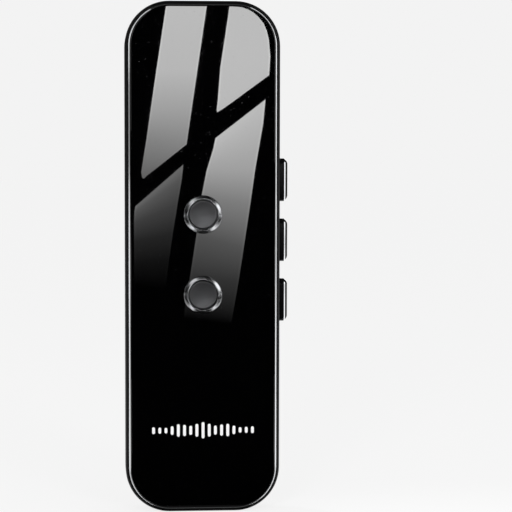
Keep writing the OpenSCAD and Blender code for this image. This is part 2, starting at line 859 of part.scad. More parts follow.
module microphone_capsule() {
    color("#b4b6b8") stand() translate([-port_side_x, wall_t + boot_l - mic_l, 0])
        along_y(mic_l) circle(mic_d / 2 - soft_fit);
}

module microphone_boot() {
    color("#2a2a2c") stand() translate([-port_side_x, wall_t, 0]) difference() {
        along_y(boot_l) circle(boot_r);
        translate([0, boot_l - mic_l, 0]) along_y(boot_l) circle(mic_d / 2);
        translate([0, -past, 0]) along_y(boot_l) circle(d = mic_hole_d);
    }
}

// ---- Leads ----

// Points of a smooth curve through the given ones, with steps rings between neighbours
function curve(p, steps) = [
    for (i = [0:len(p) - 2], k = [0:steps - 1])
        let (
            a = p[max(i - 1, 0)], b = p[i], c = p[i + 1], d = p[min(i + 2, len(p) - 1)],
            t = k / steps
        )
        b + 0.5 * t * ((c - a) + t * ((2 * a - 5 * b + 4 * c - d) + t * (3 * b - a - 3 * c + d))),
    p[len(p) - 1]
];

function unit(v) = v / norm(v);

// A round tube along a route, with its rings square to it
module lead(route, d, side, sides = 8, steps = 3) {
    p = curve(route, steps);
    n = len(p);
    points = [
        for (i = [0:n - 1])
            let (
                t = unit(p[min(i + 1, n - 1)] - p[max(i - 1, 0)]),
                u = unit(cross(side, t)),
                v = cross(t, u)
            )
            for (k = [0:sides - 1])
                p[i] + d / 2 * (cos(360 * k / sides) * u + sin(360 * k / sides) * v)
    ];
    walls = [
        for (i = [0:n - 2], k = [0:sides - 1])
            let (a = i * sides + k, b = i * sides + (k + 1) % sides)
            [a, a + sides, b + sides, b]
    ];
    first = [for (k = [0:sides - 1]) k];
    last = [for (k = [sides - 1:-1:0]) (n - 1) * sides + k];
    polyhedron(points, concat([first], walls, [last]));
}

module microphone_leads() {
    color("#7a2b22") stand() for (side = [-1, 1])
        translate([-port_side_x + side * mic_lead_x, wall_t + boot_l, 0])
            lead(mic_lead_route, mic_lead_d, [1, 0, 0]);
}

module battery_red_lead() {
    color("#b3202a") stand() translate(battery_lead_from)
        lead(red_lead_route, battery_lead_d, [0, 0, 1]);
}

module battery_black_lead() {
    color("#141416") stand() translate(battery_lead_from)
        lead(black_lead_route, battery_lead_d, [0, 0, 1]);
}

// Each runs from the speaker's back to the board. A route's point gives the place along, and how
// far towards the speaker's level the lead has dropped there.
module speaker_leads() {
    drop = speaker_lead_low - speaker_lead_high;
    color("#8d1f27") stand() for (x = speaker_lead_x)
        translate([x, board_y1, speaker_lead_high])
            lead([for (p = speaker_lead_route) [0, p[0], p[1] * drop]], speaker_lead_d, [1, 0, 0]);
}

// ---- Battery ----

module battery_cell() {
    thick = battery_z - battery_back_z;
    flat = [battery_half_w - battery_edge_r, thick / 2 - battery_edge_r];
    color("#c8cacc") stand() translate([0, battery_y, (battery_z + battery_back_z) / 2])
        along_y(battery_l) {
            square([2 * flat[0], thick], center = true);
            square([2 * battery_half_w, 2 * flat[1]], center = true);
            for (x = [-1, 1], y = [-1, 1])
                translate([x * flat[0], y * flat[1]]) circle(battery_edge_r);
        }
}

module battery_protection_board() {
    color("#c9962b") stand()
        translate([-protection_size[0] / 2, battery_top_y, battery_lead_z - protection_size[2] / 2])
            cube(protection_size);
}

// A pad on the cell, drawn in from its sides and ends
module battery_pad(low, high, inset) {
    slab(low, high) between(
        [inset[0] - battery_half_w, battery_y + inset[1]],
        [battery_half_w - inset[0], battery_top_y - inset[1]]
    );
}

module battery_tape() {
    color("#f2f0e6") stand() battery_pad(battery_z, -board_z, battery_pad_inset);
}

module battery_foam() {
    color("#2b2b2e") stand() battery_pad(cover_z, battery_back_z, 2 * battery_pad_inset);
}

module battery_header() {
    color("#ece7d8") stand() translate([0, header_y, -board_z - header_size[2]])
        slab(0, header_size[2]) square([header_size[0], header_size[1]], center = true);
}

module battery_plug() {
    color("white") stand()
        translate([battery_lead_from[0], header_y - plug_size[1] / 2, battery_lead_z - plug_size[2] / 2])
            cube(plug_size);
}

// ---- Speaker ----

// Puts a piece on the speaker's axis, with z measured from its rim
module on_speaker() {
    stand() translate([0, speaker_y, speaker_z]) children();
}

module speaker_mesh() {
    color("#101012") stand() translate([0, speaker_y, 0])
        post(speaker_r - 0.2, cover_z, cover_z + mesh_t);
}

module speaker_gasket() {
    color("#2b2b2e") stand() translate([0, speaker_y, 0]) difference() {
        post(speaker_r - 0.1, cover_z + mesh_t, cover_z + mesh_t + gasket_t);
        post(speaker_r - 1.3, cover_z, cover_z + mesh_t + gasket_t + past);
    }
}

module speaker_basket() {
    inner_r = speaker_r - basket_wall;
    floor_r = yoke_r + soft_fit;
    color("#3a3b3d") on_speaker() rotate_extrude() polygon([
        [speaker_r - basket_lip, 0], [speaker_r, 0], [speaker_r, basket_floor[1]],
        [floor_r, basket_floor[1]], [floor_r, basket_floor[0]], [inner_r, basket_floor[0]],
        [inner_r, basket_ledge], [speaker_r - basket_lip, basket_ledge]
    ]);
}

module speaker_yoke() {
    color("#8c8f92") on_speaker() difference() {
        post(yoke_r, basket_floor[0] - yoke_seat, speaker_depth);
        post(yoke_r - yoke_t, 0, speaker_depth - yoke_t);
    }
}

module speaker_magnet() {
    color("#b4b6b8") on_speaker() post(magnet_r, magnet_top, speaker_depth - yoke_t);
}

module speaker_voice_coil() {
    color("#b4632c") on_speaker() difference() {
        post(coil_r[1], cone_level, cone_level + coil_l);
        post(coil_r[0], 0, cone_level + coil_l + past);
    }
}

// The cone: a flat ring, and a shallow dome in its middle that bulges towards the grille
module speaker_diaphragm() {
    inner_r = (pow(dome_r, 2) + pow(dome_h, 2)) / (2 * dome_h);
    color("#26272a") on_speaker() rotate_extrude() {
        between([dome_r - cone_t, cone_level - cone_t], [cone_r, cone_level]);
        intersection() {
            translate([0, cone_level - dome_h + inner_r]) difference() {
                circle(inner_r + cone_t, $fn = 360);
                circle(inner_r, $fn = 360);
            }
            between([0, -dome_h], [dome_r, cone_level]);
        }
    }
}

// The surround: a foot glued on the cone and one on the basket, joined by a half-round roll
module speaker_surround() {
    foot = [cone_level + soft_fit, cone_level + roll_t];
    inner_r = cone_r + 0.1;
    roll_at = inner_r + roll_r;
    color("#1b1b1d") on_speaker() rotate_extrude() {
        between([cone_r - 0.5, foot[0]], [inner_r + roll_t, foot[1]]);
        between([roll_at + roll_r - roll_t, cone_level], [speaker_r - basket_lip - fit, basket_ledge]);
        translate([roll_at, cone_level + roll_t / 2]) intersection() {
            difference() {
                circle(roll_r);
                circle(roll_r - roll_t);
            }
            between([-roll_r, -roll_r], [roll_r, 0]);
        }
    }
}

// ---- Screws ----

// The cross recess of a screw's head
module cross_recess(screw_d, head_d, depth) {
    for (turn = [0, 90]) rotate([0, 0, turn])
        cube([head_d * 0.6, screw_d * 0.22, 2 * depth], center = true);
}

module case_screws() {
    color("#8c8f92") stand() at_each(case_screw_at) translate([0, 0, case_head_z]) difference() {
        union() {
            translate([0, 0, -case_screw_l]) cylinder(d = case_screw_d, h = case_screw_l);
            translate([0, 0, -case_head_h])
                cylinder(d1 = case_screw_d, d2 = case_head_d, h = case_head_h);
        }
        cross_recess(case_screw_d, case_head_d, case_head_h / 2);
    }
}

module board_screws() {
    color("#8c8f92") stand() at_each(board_screw_at) translate([0, 0, -board_z]) difference() {
        union() {
            cylinder(d = board_screw_d, h = board_screw_l - fit);
            translate([0, 0, -board_head_h]) cylinder(d = board_head_d, h = board_head_h);
        }
        translate([0, 0, -board_head_h]) cross_recess(board_screw_d, board_head_d, board_head_h / 2);
    }
}

front_panel();
front_panel_tape();
front_trim();
mid_frame();
rear_trim();
back_cover();
button_ring(front_button_ys[0]);  // upper_button_ring
button_ring(front_button_ys[1]);  // lower_button_ring
front_button(front_button_ys[0]);  // upper_button
front_button(front_button_ys[1]);  // lower_button
side_button(side_button_ys[0]);  // volume_up_button
side_button(side_button_ys[1]);  // volume_down_button
side_button(side_button_ys[2]);  // power_button
front_switch_body(front_button_ys[0]);  // upper_switch_body
front_switch_body(front_button_ys[1]);  // lower_switch_body
front_switch_plunger(front_button_ys[0]);  // upper_switch_plunger
front_switch_plunger(front_button_ys[1]);  // lower_switch_plunger
side_switch_body(side_button_ys[0]);  // volume_up_switch_body
side_switch_body(side_button_ys[1]);  // volume_down_switch_body
side_switch_body(side_button_ys[2]);  // power_switch_body
side_switch_plunger(side_button_ys[0]);  // volume_up_plunger
side_switch_plunger(side_button_ys[1]);  // volume_down_plunger
side_switch_plunger(side_button_ys[2]);  // power_plunger
main_board();
bluetooth_chip();
flash_memory_chip();
audio_amplifier_chip();
charger_chip();
crystal();
power_inductor();
board_passives();
chip_antenna();
status_led();
light_pipe();
usb_shell();
usb_tongue();
usb_contacts();
microphone_capsule();
microphone_boot();
microphone_leads();
battery_cell();
battery_protection_board();
battery_tape();
battery_foam();
battery_red_lead();
battery_black_lead();
battery_plug();
battery_header();
speaker_mesh();
speaker_gasket();
speaker_basket();
speaker_yoke();
speaker_magnet();
speaker_voice_coil();
speaker_diaphragm();
speaker_surround();
speaker_leads();
case_screws();
board_screws();
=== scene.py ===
"""A handheld voice translator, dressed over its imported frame.

The body stands on its bottom end, which is z = 0. Its glossy front faces -Y and its back +Y, and the
side buttons are at +X. Lengths are in metres, so a size in millimetres is written as n * MM, and a list
of points that is in millimetres says so.
"""
import json
import logging
import math
from dataclasses import dataclass, field, replace
from enum import Enum

import bmesh
import bpy
import numpy as np
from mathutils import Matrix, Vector


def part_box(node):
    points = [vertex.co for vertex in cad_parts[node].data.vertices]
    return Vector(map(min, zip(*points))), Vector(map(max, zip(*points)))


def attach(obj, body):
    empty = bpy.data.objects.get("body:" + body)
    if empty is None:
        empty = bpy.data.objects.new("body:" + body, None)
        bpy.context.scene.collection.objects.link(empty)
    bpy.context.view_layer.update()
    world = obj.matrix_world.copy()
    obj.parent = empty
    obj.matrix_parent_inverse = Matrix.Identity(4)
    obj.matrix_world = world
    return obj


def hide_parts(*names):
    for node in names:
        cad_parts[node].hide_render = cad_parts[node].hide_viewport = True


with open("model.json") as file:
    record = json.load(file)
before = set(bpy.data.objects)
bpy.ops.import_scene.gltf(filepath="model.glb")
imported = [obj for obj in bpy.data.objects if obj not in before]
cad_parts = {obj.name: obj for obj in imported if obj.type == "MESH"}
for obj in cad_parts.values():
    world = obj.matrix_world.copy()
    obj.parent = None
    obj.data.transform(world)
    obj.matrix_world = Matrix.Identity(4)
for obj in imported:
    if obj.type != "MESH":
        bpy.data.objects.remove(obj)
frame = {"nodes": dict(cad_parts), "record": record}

MM = 1e-3
# Points of one piece that are closer than this are the same point
SAME_POINT = 1e-7
# Edges sharper than this, in degrees, stay hard
HARD_EDGE = 35
# How many spans a rounded corner has
ROUNDING_STEPS = 4
# How much smoother a surface is where it is rubbed
RUB_POLISH = 0.15
# How much larger the patches of a rub are than the rounding of its edge
RUB_PATCH = 12
LOG = logging.getLogger("translator")

Array = np.ndarray
Colour = tuple[float, float, float]
Point = tuple[float, float, float]
Span = tuple[float, float]
Profile = tuple[Span, ...]
Inputs = dict[str | int, object]
Piece = bpy.types.Object
Material = bpy.types.Material
Socket = bpy.types.NodeSocket

BODY_MIDDLE: Point = (0.0, 0.0, 70 * MM)


class Face(Enum):
    """The body's two faces, each with the sign of its y."""

    FRONT = -1
    BACK = 1


# ---- Meshes ----


def grid_faces(rows: int, columns: int, ring_rows: bool, ring_columns: bool, copies: int = 1) -> Array:
    """Lists the four corners of each cell of a grid of points.

    The point in row i and column j has number i * columns + j. A cell joins two neighbours in its row
    to the two beside them in the next row.

    Args:
        rows: How many rows of points the grid has.
        columns: How many points a row has.
        ring_rows: Whether the last row joins the first.
        ring_columns: Whether the last point of a row joins its first.
        copies: How many such grids follow one another.

    Returns:
        An array of cells by 4 with point numbers.
    """
    i, j = np.meshgrid(
        np.arange(rows if ring_rows else rows - 1),
        np.arange(columns if ring_columns else columns - 1),
        indexing="ij",
    )
    above, beside = (i + 1) % rows, (j + 1) % columns
    cell = [i * columns + j, i * columns + beside, above * columns + beside, above * columns + j]
    start = np.arange(copies)[:, None, None] * rows * columns
    return (start + np.stack(cell, -1).reshape(-1, 4)).reshape(-1, 4)


def grid_points(x: Array, y: Array | float, z: Array | float) -> Array:
    """Joins coordinates, each repeated where another has more of them, into an array of points by 3."""
    return np.stack(np.broadcast_arrays(x, y, z), -1).reshape(-1, 3)


def new_piece(name: str, points: Array, faces: Array, merge: float = 0.0) -> Piece:
    """Makes a smooth mesh object at the origin, with its hard corners kept hard.

    Args:
        name: The piece's name.
        points: An array of points by 3.
        faces: An array of faces by corners, with point numbers.
        merge: Points closer than this become one, which closes poles and ridges; 0 leaves them.

    Returns:
        The linked object, with all faces of a closed shape looking outwards.
    """
    mesh = bpy.data.meshes.new(name)
    mesh.from_pydata(points.tolist(), [], faces.tolist())
    if merge:
        work = bmesh.new()
        work.from_mesh(mesh)
        bmesh.ops.remove_doubles(work, verts=work.verts, dist=merge)
        bmesh.ops.recalc_face_normals(work, faces=work.faces)
        work.to_mesh(mesh)
        work.free()
    mesh.polygons.foreach_set("use_smooth", np.ones(len(mesh.polygons), bool))
    mesh.set_sharp_from_angle(angle=math.radians(HARD_EDGE))
    mesh.update()
    piece = bpy.data.objects.new(name, mesh)
    bpy.context.scene.collection.objects.link(piece)
    return piece


def softened(profile: Array, length: float, closed: bool = True) -> Array:
    """Rounds the corners of a profile.

    Each corner C becomes a parabola from A, on the edge before it, to B, on the edge after it. Its
    point at share s is (1 - s)^2 A + 2 s (1 - s) C + s^2 B. One more point on each edge, half as far
    again from the corner, keeps the flats flat in the shading.

    Args:
        profile: The corners in order, an array of corners by 2.
        length: How far a rounding reaches along an edge; at most 0.3 of that edge.
        closed: Whether the last corner leads back to the first; if not, the two ends stay as they are.

    Returns:
        The rounded profile, an array of points by 2.
    """

    def reach(edge: Array) -> Array:
        """Gives the vector from a corner to the start of its rounding on one edge."""
        size = np.linalg.norm(edge, axis=1, keepdims=True)
        return (edge * np.minimum(length, 0.3 * size) / size)[:, None]

    first, last = (reach(np.roll(profile, turn, 0) - profile) for turn in (1, -1))
    share = np.linspace(0, 1, ROUNDING_STEPS + 1)[None, :, None]
    curve = (1 - share) ** 2 * first + share**2 * last
    corners = profile[:, None] + np.concatenate([1.5 * first, curve, 1.5 * last], 1)
    if closed:
        return corners.reshape(-1, 2)
    return np.concatenate([profile[:1], corners[1:-1].reshape(-1, 2), profile[-1:]])


def turned(name: str, profile: Array, z: float, steps: int, closed: bool) -> Piece:
    """Turns a profile about an axis along y, in the body's middle plane.

    At angle a, the profile's point (r, y) goes to (r cos a, y, z + r sin a).

    Args:
        name: The piece's name.
        profile: The points (r, y) in order, an array of points by 2.
        z: The axis's height.
        steps: How many times the profile is repeated round the axis.
        closed: Whether the profile is a ring; if not, it starts and ends on the axis.

    Returns:
        The turned piece.
    """
    angle = np.arange(steps) * 2 * math.pi / steps
    r, y = profile.T[:, :, None]
    points = grid_points(r * np.cos(angle), y, z + r * np.sin(angle))
    return new_piece(name, points, grid_faces(len(profile), steps, closed, True), SAME_POINT)


def middle_of(node: str) -> Vector:
    """Gives the middle of a CAD node's box."""
    low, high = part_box(node)
    return (low + high) / 2


def face_of(node: str, face: Face) -> float:
    """Gives the y of a CAD node's front or back face."""
    low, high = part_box(node)
    return low.y if face is Face.FRONT else high.y


# ---- Materials ----


class Graph:
    """A node tree that is built a node at a time."""

    def __init__(self, owner: Material | bpy.types.World) -> None:
        """Takes over the nodes of a material or world and empties them.

        Args:
            owner: The material or world.
        """
        owner.use_nodes = True
        self.tree = owner.node_tree
        self.tree.nodes.clear()
        self.smooth: Socket | None = None  # The normal that bumps start from, if not the true one

    def add(self, kind: str, inputs: Inputs | None = None, **settings: object) -> bpy.types.Node:
        """Adds a node.

        Args:
            kind: The node's type, without the word ShaderNode before it.
            inputs: For each input, by name or number, a value or the socket that feeds it.
            **settings: The node's own settings.

        Returns:
            The new node.
        """
        node = self.tree.nodes.new(f"ShaderNode{kind}")
        for name, value in settings.items():
            setattr(node, name, value)
        for name, value in (inputs or {}).items():
            if isinstance(value, Socket):
                self.tree.links.new(value, node.inputs[name])
            else:
                node.inputs[name].default_value = value
        return node

    def maths(self, operation: str, a: object, b: object = 0.0) -> Socket:
        """Adds a Math node of one operation on two values and gives its result."""
        return self.add("Math", {0: a, 1: b}, operation=operation).outputs[0]

    def place(self, centre: Point = (0.0, 0.0, 0.0), stretch: Point = (1.0, 1.0, 1.0)) -> Socket:
        """Gives the object's own coordinates about a centre, each times a factor.

        Args:
            centre: The point that becomes the origin.
            stretch: The factor along each axis.

        Returns:
            The vector's socket.
        """
        inputs = {"Vector": self.add("TexCoord").outputs["Object"], "Scale": stretch}
        inputs["Location"] = tuple(-c * s for c, s in zip(centre, stretch))
        return self.add("Mapping", inputs).outputs[0]

    def noise(self, at: Socket, size: float, detail: float = 2.0) -> Socket:
        """Adds noise from 0 to 1, whose largest features have the given size, with some finer layers."""
        return self.add("TexNoise", {"Vector": at, "Scale": 1 / size, "Detail": detail}).outputs[0]

    def ridges(self, along: Socket, pitch: float) -> Socket:
        """Gives round ridges that repeat once a pitch, as the absolute sine of a coordinate."""
        wave = self.maths("SINE", self.maths("MULTIPLY", along, math.pi / pitch))
        return self.maths("ABSOLUTE", wave)

    def spread(
        self, value: Socket, low: float, high: float, start: float = 0.3, stop: float = 0.7
    ) -> Socket:
        """Maps a value's range from start to stop onto low to high, and clamps it there."""
        inputs = {"Value": value, "From Min": start, "From Max": stop, "To Min": low, "To Max": high}
        return self.add("MapRange", inputs).outputs[0]

    def mix(self, share: Socket, first: Socket | Colour, second: Socket | Colour) -> Socket:
        """Mixes two colours; a share of 1 gives the second."""
        first, second = (c if isinstance(c, Socket) else (*c, 1.0) for c in (first, second))
        return self.add("Mix", {0: share, 6: first, 7: second}, data_type="RGBA").outputs[2]

    def bump(
        self, height: Socket, depth: float, strength: float = 1.0, under: Socket | None = None
    ) -> Socket:
        """Turns a height from 0 to 1 into a normal.

        Args:
            height: The height's socket.
            depth: What a height of 1 stands for, in metres.
            strength: How much of the bump shows.
            under: The normal of a coarser bump below this one.

        Returns:
            The normal's socket.
        """
        inputs: Inputs = {"Height": height, "Distance": depth, "Strength": strength}
        if under or self.smooth:
            inputs["Normal"] = under or self.smooth
        return self.add("Bump", inputs).outputs[0]

    def rubbed_and_lit_edge(self, radius: float) -> Socket:
        """Rounds the sharp edges in the shading, and finds where they are rubbed. There the colour is
        lightened, as wear and as a painted edge highlight.

        The rub is 1 - (rounded normal . true normal), which is 0 away from the edges, broken up into
        patches.

        Args:
            radius: The rounding's radius.

        Returns:
            The socket of the rub, which also carries the painted edge highlight, from 0 to 1.
        """
        self.smooth = self.add("Bevel", {"Radius": radius}, samples=6).outputs[0]
        normals = {0: self.smooth, 1: self.add("NewGeometry").outputs["Normal"]}
        dot = self.add("VectorMath", normals, operation="DOT_PRODUCT").outputs["Value"]
        patchy = self.spread(self.noise(self.place(), radius * RUB_PATCH), 0.35, 1.0)
        return self.maths("MULTIPLY", self.spread(dot, 1, 0, 0.75, 0.99), patchy)

    def seen(self) -> Socket:
        """Gives 1 for rays from the camera, off gloss or through glass, and 0 for the rest.

        Returns:
            The value's socket.
        """
        paths = self.add("LightPath").outputs
        direct = self.maths("MAXIMUM", paths["Is Camera Ray"], paths["Is Glossy Ray"])
        return self.maths("MAXIMUM", direct, paths["Is Transmission Ray"])

    def light(self, kind: str, strength: object) -> Socket:
        """Adds a white light shader of a kind, Emission or Background."""
        return self.add(kind, {"Color": (1, 1, 1, 1), "Strength": strength}).outputs[0]

    def end(self, surface: Socket, kind: str = "Material") -> None:
        """Feeds a shader to the output of the material or the world."""
        self.add(f"Output{kind}", {"Surface": surface})


@dataclass
class Look:
    """What a finish's pattern feeds into the shader."""

    colour: Socket
    roughness: Socket | float
    normal: Socket | None = None


@dataclass(frozen=True)
class Finish:
    """A surface with a fine even grain and a faint cloudiness in its colour."""

    colour: Colour  # The mean colour, linear
    roughness: float
    metallic: float = 0.0  # 1 for bare metal
    specular: float = 0.5  # The strength of the plain reflection, where 0.5 is common plastic
    coat: float = 0.0  # The share of clear lacquer
    coat_roughness: float = 0.02  # The lacquer's roughness
    transmission: float = 0.0  # The share of light that passes through
    cloud: float = 0.12  # How far the colour swings, as a share of it
    cloud_size: float = 4 * MM  # The size of those swings
    uneven: float = 0.05  # How far the roughness swings
    grain: float = 0.12 * MM  # The size of the grain
    grain_depth: float = 0.004 * MM  # The depth of the grain
    # The radius to which the shading rounds sharp edges, which are also rubbed and lightened, as wear and
    # as a painted edge highlight; 0 leaves them
    edge: float = 0.0
    # The lighter colour of the rubbed edges: wear, and a painted edge highlight
    rubbed_and_lit: Colour = (0.10, 0.10, 0.105)  # The colour of the rubbed edges

    def tint(self, factor: float) -> Colour:
        """Gives the colour, lighter or darker by a factor."""
        return tuple(min(1.0, c * factor) for c in self.colour)

    def shade(self, graph: Graph, share: Socket) -> Socket:
        """Mixes the darkest of the colour's swings with the lightest."""
        return graph.mix(share, self.tint(1 - self.cloud), self.tint(1 + self.cloud))

    def sheen(self, graph: Graph, noise: Socket) -> Socket:
        """Swings the roughness with a noise."""
        return graph.spread(noise, self.roughness - self.uneven, self.roughness + self.uneven)

    def pattern(self, graph: Graph) -> Look:
        """Works out the surface: clouds in the colour, and a grain in the roughness and the height.

        Args:
            graph: The tree that the nodes go into.

        Returns:
            The sockets for the shader.
        """
        at = graph.place()
        grain = graph.noise(at, self.grain)
        colour = self.shade(graph, graph.spread(graph.noise(at, self.cloud_size, 3.0), 0, 1))
        return Look(colour, self.sheen(graph, grain), graph.bump(grain, self.grain_depth))

    def build(self, name: str) -> Material:
        """Makes the material.

        Args:
            name: The material's name.

        Returns:
            A material with one Principled shader.
        """
        material = bpy.data.materials.new(name)
        graph = Graph(material)
        rub_and_glint = graph.rubbed_and_lit_edge(self.edge) if self.edge else None
        look = self.pattern(graph)
        # Rubbed edges get the lighter colour: wear, and a painted edge highlight
        if rub_and_glint:
            look.colour = graph.mix(rub_and_glint, look.colour, self.rubbed_and_lit)
            smoother = graph.maths("MULTIPLY", rub_and_glint, RUB_POLISH)
            look.roughness = graph.maths("SUBTRACT", look.roughness, smoother)
        inputs: Inputs = {
            "Base Color": look.colour,
            "Roughness": look.roughness,
            "Metallic": self.metallic,
            "Specular IOR Level": self.specular,
            "Coat Weight": self.coat,
            "Coat Roughness": self.coat_roughness,
            "Transmission Weight": self.transmission,
        }
        if look.normal:
            inputs["Normal"] = look.normal
        graph.end(graph.add("BsdfPrincipled", inputs).outputs[0])
        return material


@dataclass(frozen=True)
class GlossPlate(Finish):
    """Black plate with a polished face: long faint swirls of polish, and a few fine dust specks."""

    swirl: float = 9 * MM  # The size of the swirls
    speck: float = 0.35 * MM  # The size of the specks
    dust: Colour = (0.012, 0.012, 0.013)  # The colour of the specks

    def pattern(self, graph: Graph) -> Look:
        """Adds swirls to the roughness, and specks where a fine noise peaks.

        Args:
            graph: The tree that the nodes go into.

        Returns:
            The sockets for the shader.
        """
        polish = self.sheen(graph, graph.noise(graph.place(stretch=(1.0, 1.0, 0.35)), self.swirl, 4.0))
        dust = graph.spread(graph.noise(graph.place(), self.speck, 0.0), 0, 1, 0.80, 0.84)
        roughness = graph.maths("ADD", polish, graph.maths("MULTIPLY", dust, 0.12))
        return Look(graph.mix(dust, self.colour, self.dust), roughness)


@dataclass(frozen=True)
class DrawnMetal(Finish):
    """Bright metal with fine polishing lines along the body."""

    def pattern(self, graph: Graph) -> Look:
        """Stretches a fine noise along z for the lines, over slow clouds in the colour.

        Args:
            graph: The tree that the nodes go into.

        Returns:
            The sockets for the shader.
        """
        lines = graph.noise(graph.place(stretch=(1.0, 1.0, 0.04)), self.grain, 3.0)
        colour = self.shade(graph, graph.spread(graph.noise(graph.place(), self.cloud_size), 0, 1))
        return Look(colour, self.sheen(graph, lines), graph.bump(lines, self.grain_depth))


@dataclass(frozen=True)
class TurnedMetal(Finish):
    """Metal turned on a lathe about an axis along y."""

    centre: Point = (0.0, 0.0, 0.0)  # A point on the axis
    groove: float = 0.11 * MM  # The distance from one groove to the next
    jitter: float = 1.1 * MM  # The size of the unevenness in them

    def pattern(self, graph: Graph) -> Look:
        """Draws grooves as a wave of the distance from the axis, a little uneven in depth. The colour is a
        little darker in their troughs, a painted shade.

        Args:
            graph: The tree that the nodes go into.

        Returns:
            The sockets for the shader.
        """
        at = graph.place(self.centre, (1.0, 0.0, 1.0))
        radius = graph.add("VectorMath", {0: at}, operation="LENGTH").outputs["Value"]
        jitter = graph.noise(graph.place(), self.jitter)
        phase = graph.maths("ADD", graph.maths("MULTIPLY", radius, 2 * math.pi / self.groove), jitter)
        wave = graph.spread(graph.maths("SINE", phase), 0, 1, -1, 1)
        height = graph.maths("MULTIPLY", wave, graph.spread(jitter, 0.4, 1.0))
        roughness = graph.spread(wave, self.roughness + self.uneven, self.roughness - self.uneven, 0, 1)
        # The colour follows the wave: painted shade in the grooves' troughs
        return Look(self.shade(graph, wave), roughness, graph.bump(height, self.grain_depth))


@dataclass(frozen=True)
class EtchedPlastic(Finish):
    """Moulded plastic with a spark-etched skin: rounded pits of mixed sizes, with painted shade in the pits
    and a painted highlight on their rims.
    """

    def pattern(self, graph: Graph) -> Look:
        """Joins cells of two sizes into one height, and lightens the colour where it is high. This gives a
        painted highlight on the rims and painted shade in the pits.

        Args:
            graph: The tree that the nodes go into.

        Returns:
            The sockets for the shader.
        """
        at = graph.place()
        coarse = graph.add("TexVoronoi", {"Vector": at, "Scale": 1 / self.grain}, feature="SMOOTH_F1")
        fine = graph.noise(at, self.grain * 0.45, 3.0)
        height = graph.maths("ADD", graph.maths("MULTIPLY", coarse.outputs["Distance"], 0.7), fine)
        # The colour follows the height: painted highlight on the rims, painted shade in the pits
        pit_shade_and_rim_glint = self.shade(graph, graph.spread(height, 0, 1, 0.65, 1.05))
        clouds = graph.spread(graph.noise(at, self.cloud_size), 0, 0.35)
        colour = graph.mix(clouds, pit_shade_and_rim_glint, self.tint(1 - self.cloud))
        return Look(colour, self.sheen(graph, fine), graph.bump(height, self.grain_depth))


@dataclass(frozen=True)
class WovenMesh(Finish):
    """Fine woven cloth of round wires that run across and along."""

    pitch: float = 0.16 * MM  # The distance from one wire to the next

    def pattern(self, graph: Graph) -> Look:
        """Lays two sets of ridges over each other, each a sine of its own coordinate. The colour is much
        darker in the gaps between the wires, a painted shade.

        Args:
            graph: The tree that the nodes go into.

        Returns:
            The sockets for the shader.
        """
        x, _, z = graph.add("SeparateXYZ", {0: graph.place()}).outputs
        height = graph.maths("MAXIMUM", graph.ridges(x, self.pitch), graph.ridges(z, self.pitch))
        # Painted shade: the colour darkens to a fifth in the gaps between the wires
        colour = graph.mix(graph.spread(height, 0, 1, 0.5, 1.0), self.tint(0.2), self.tint(1 + self.cloud))
        return Look(colour, self.roughness, graph.bump(height, self.grain_depth))


@dataclass(frozen=True)
class BoardMask(Finish):
    """Solder mask over copper: paler tracks, and small bare pads with a gold finish."""

    cell: float = 1.9 * MM  # The distance from one pad to the next
    pad: Colour = (0.70, 0.48, 0.16)  # The colour of the pads

    def pattern(self, graph: Graph) -> Look:
        """Draws tracks where a cell pattern's borders are close, and pads at some cells' middles.

        Args:
            graph: The tree that the nodes go into.

        Returns:
            The sockets for the shader.
        """
        at = graph.place(stretch=(1.0, 0.0, 1.0))
        inputs = {"Vector": at, "Scale": 1 / self.cell, "Randomness": 0.35}
        borders = graph.add("TexVoronoi", inputs, feature="DISTANCE_TO_EDGE", distance="EUCLIDEAN")
        cells = graph.add("TexVoronoi", inputs, feature="F1", distance="CHEBYCHEV")
        track = graph.spread(borders.outputs["Distance"], 1, 0, 0.05, 0.08)
        via = graph.spread(cells.outputs["Distance"], 1, 0, 0.10, 0.13)
        mask = self.shade(graph, graph.spread(graph.noise(at, self.cloud_size, 3.0), 0, 1))
        colour = graph.mix(via, graph.mix(track, mask, self.tint(2.2)), self.pad)
        height = graph.maths("ADD", graph.maths("MULTIPLY", track, 0.6), via)
        roughness = graph.spread(via, self.roughness, 0.22, 0, 1)
        return Look(colour, roughness, graph.bump(height, self.grain_depth))


@dataclass(frozen=True)
class WrappedFoil(Finish):
    """Laminated foil: soft crinkles along the cell over a fine rolled texture."""

    crinkle: float = 7 * MM  # The size of the crinkles
    crinkle_depth: float = 0.12 * MM  # Their depth

    def pattern(self, graph: Graph) -> Look:
        """Lays broad crinkles under fine lines that run along z. The colour is darker in the crinkles'
        hollows and lighter on their crests, a painted shade.

        Args:
            graph: The tree that the nodes go into.

        Returns:
            The sockets for the shader.
        """
        crinkle = graph.noise(graph.place(stretch=(1.0, 1.0, 0.4)), self.crinkle, 3.0)
        rolled = graph.noise(graph.place(stretch=(1.0, 1.0, 0.05)), self.grain)
        bump = graph.bump(rolled, self.grain_depth, 1.0, graph.bump(crinkle, self.crinkle_depth, 0.5))
        # The colour follows the crinkles' height: painted shade in their hollows, painted highlight on
        # their crests
        return Look(self.shade(graph, graph.spread(crinkle, 0, 1)), self.sheen(graph, rolled), bump)


@dataclass(frozen=True)
class WoundWire(Finish):
    """Turns of lacquered wire about an axis along y."""

    wire: float = 0.09 * MM  # The wire's diameter

    def pattern(self, graph: Graph) -> Look:
        """Rounds the turns as the sine of the place along the axis. The colour is darker between the turns,
        a painted shade.

        Args:
            graph: The tree that the nodes go into.

        Returns:
            The sockets for the shader.
        """
        height = graph.ridges(graph.add("SeparateXYZ", {0: graph.place()}).outputs[1], self.wire)
        # Painted shade: the colour darkens to a third between the turns
        colour = graph.mix(height, self.tint(0.35), self.tint(1 + self.cloud))
        return Look(colour, self.roughness, graph.bump(height, self.grain_depth))


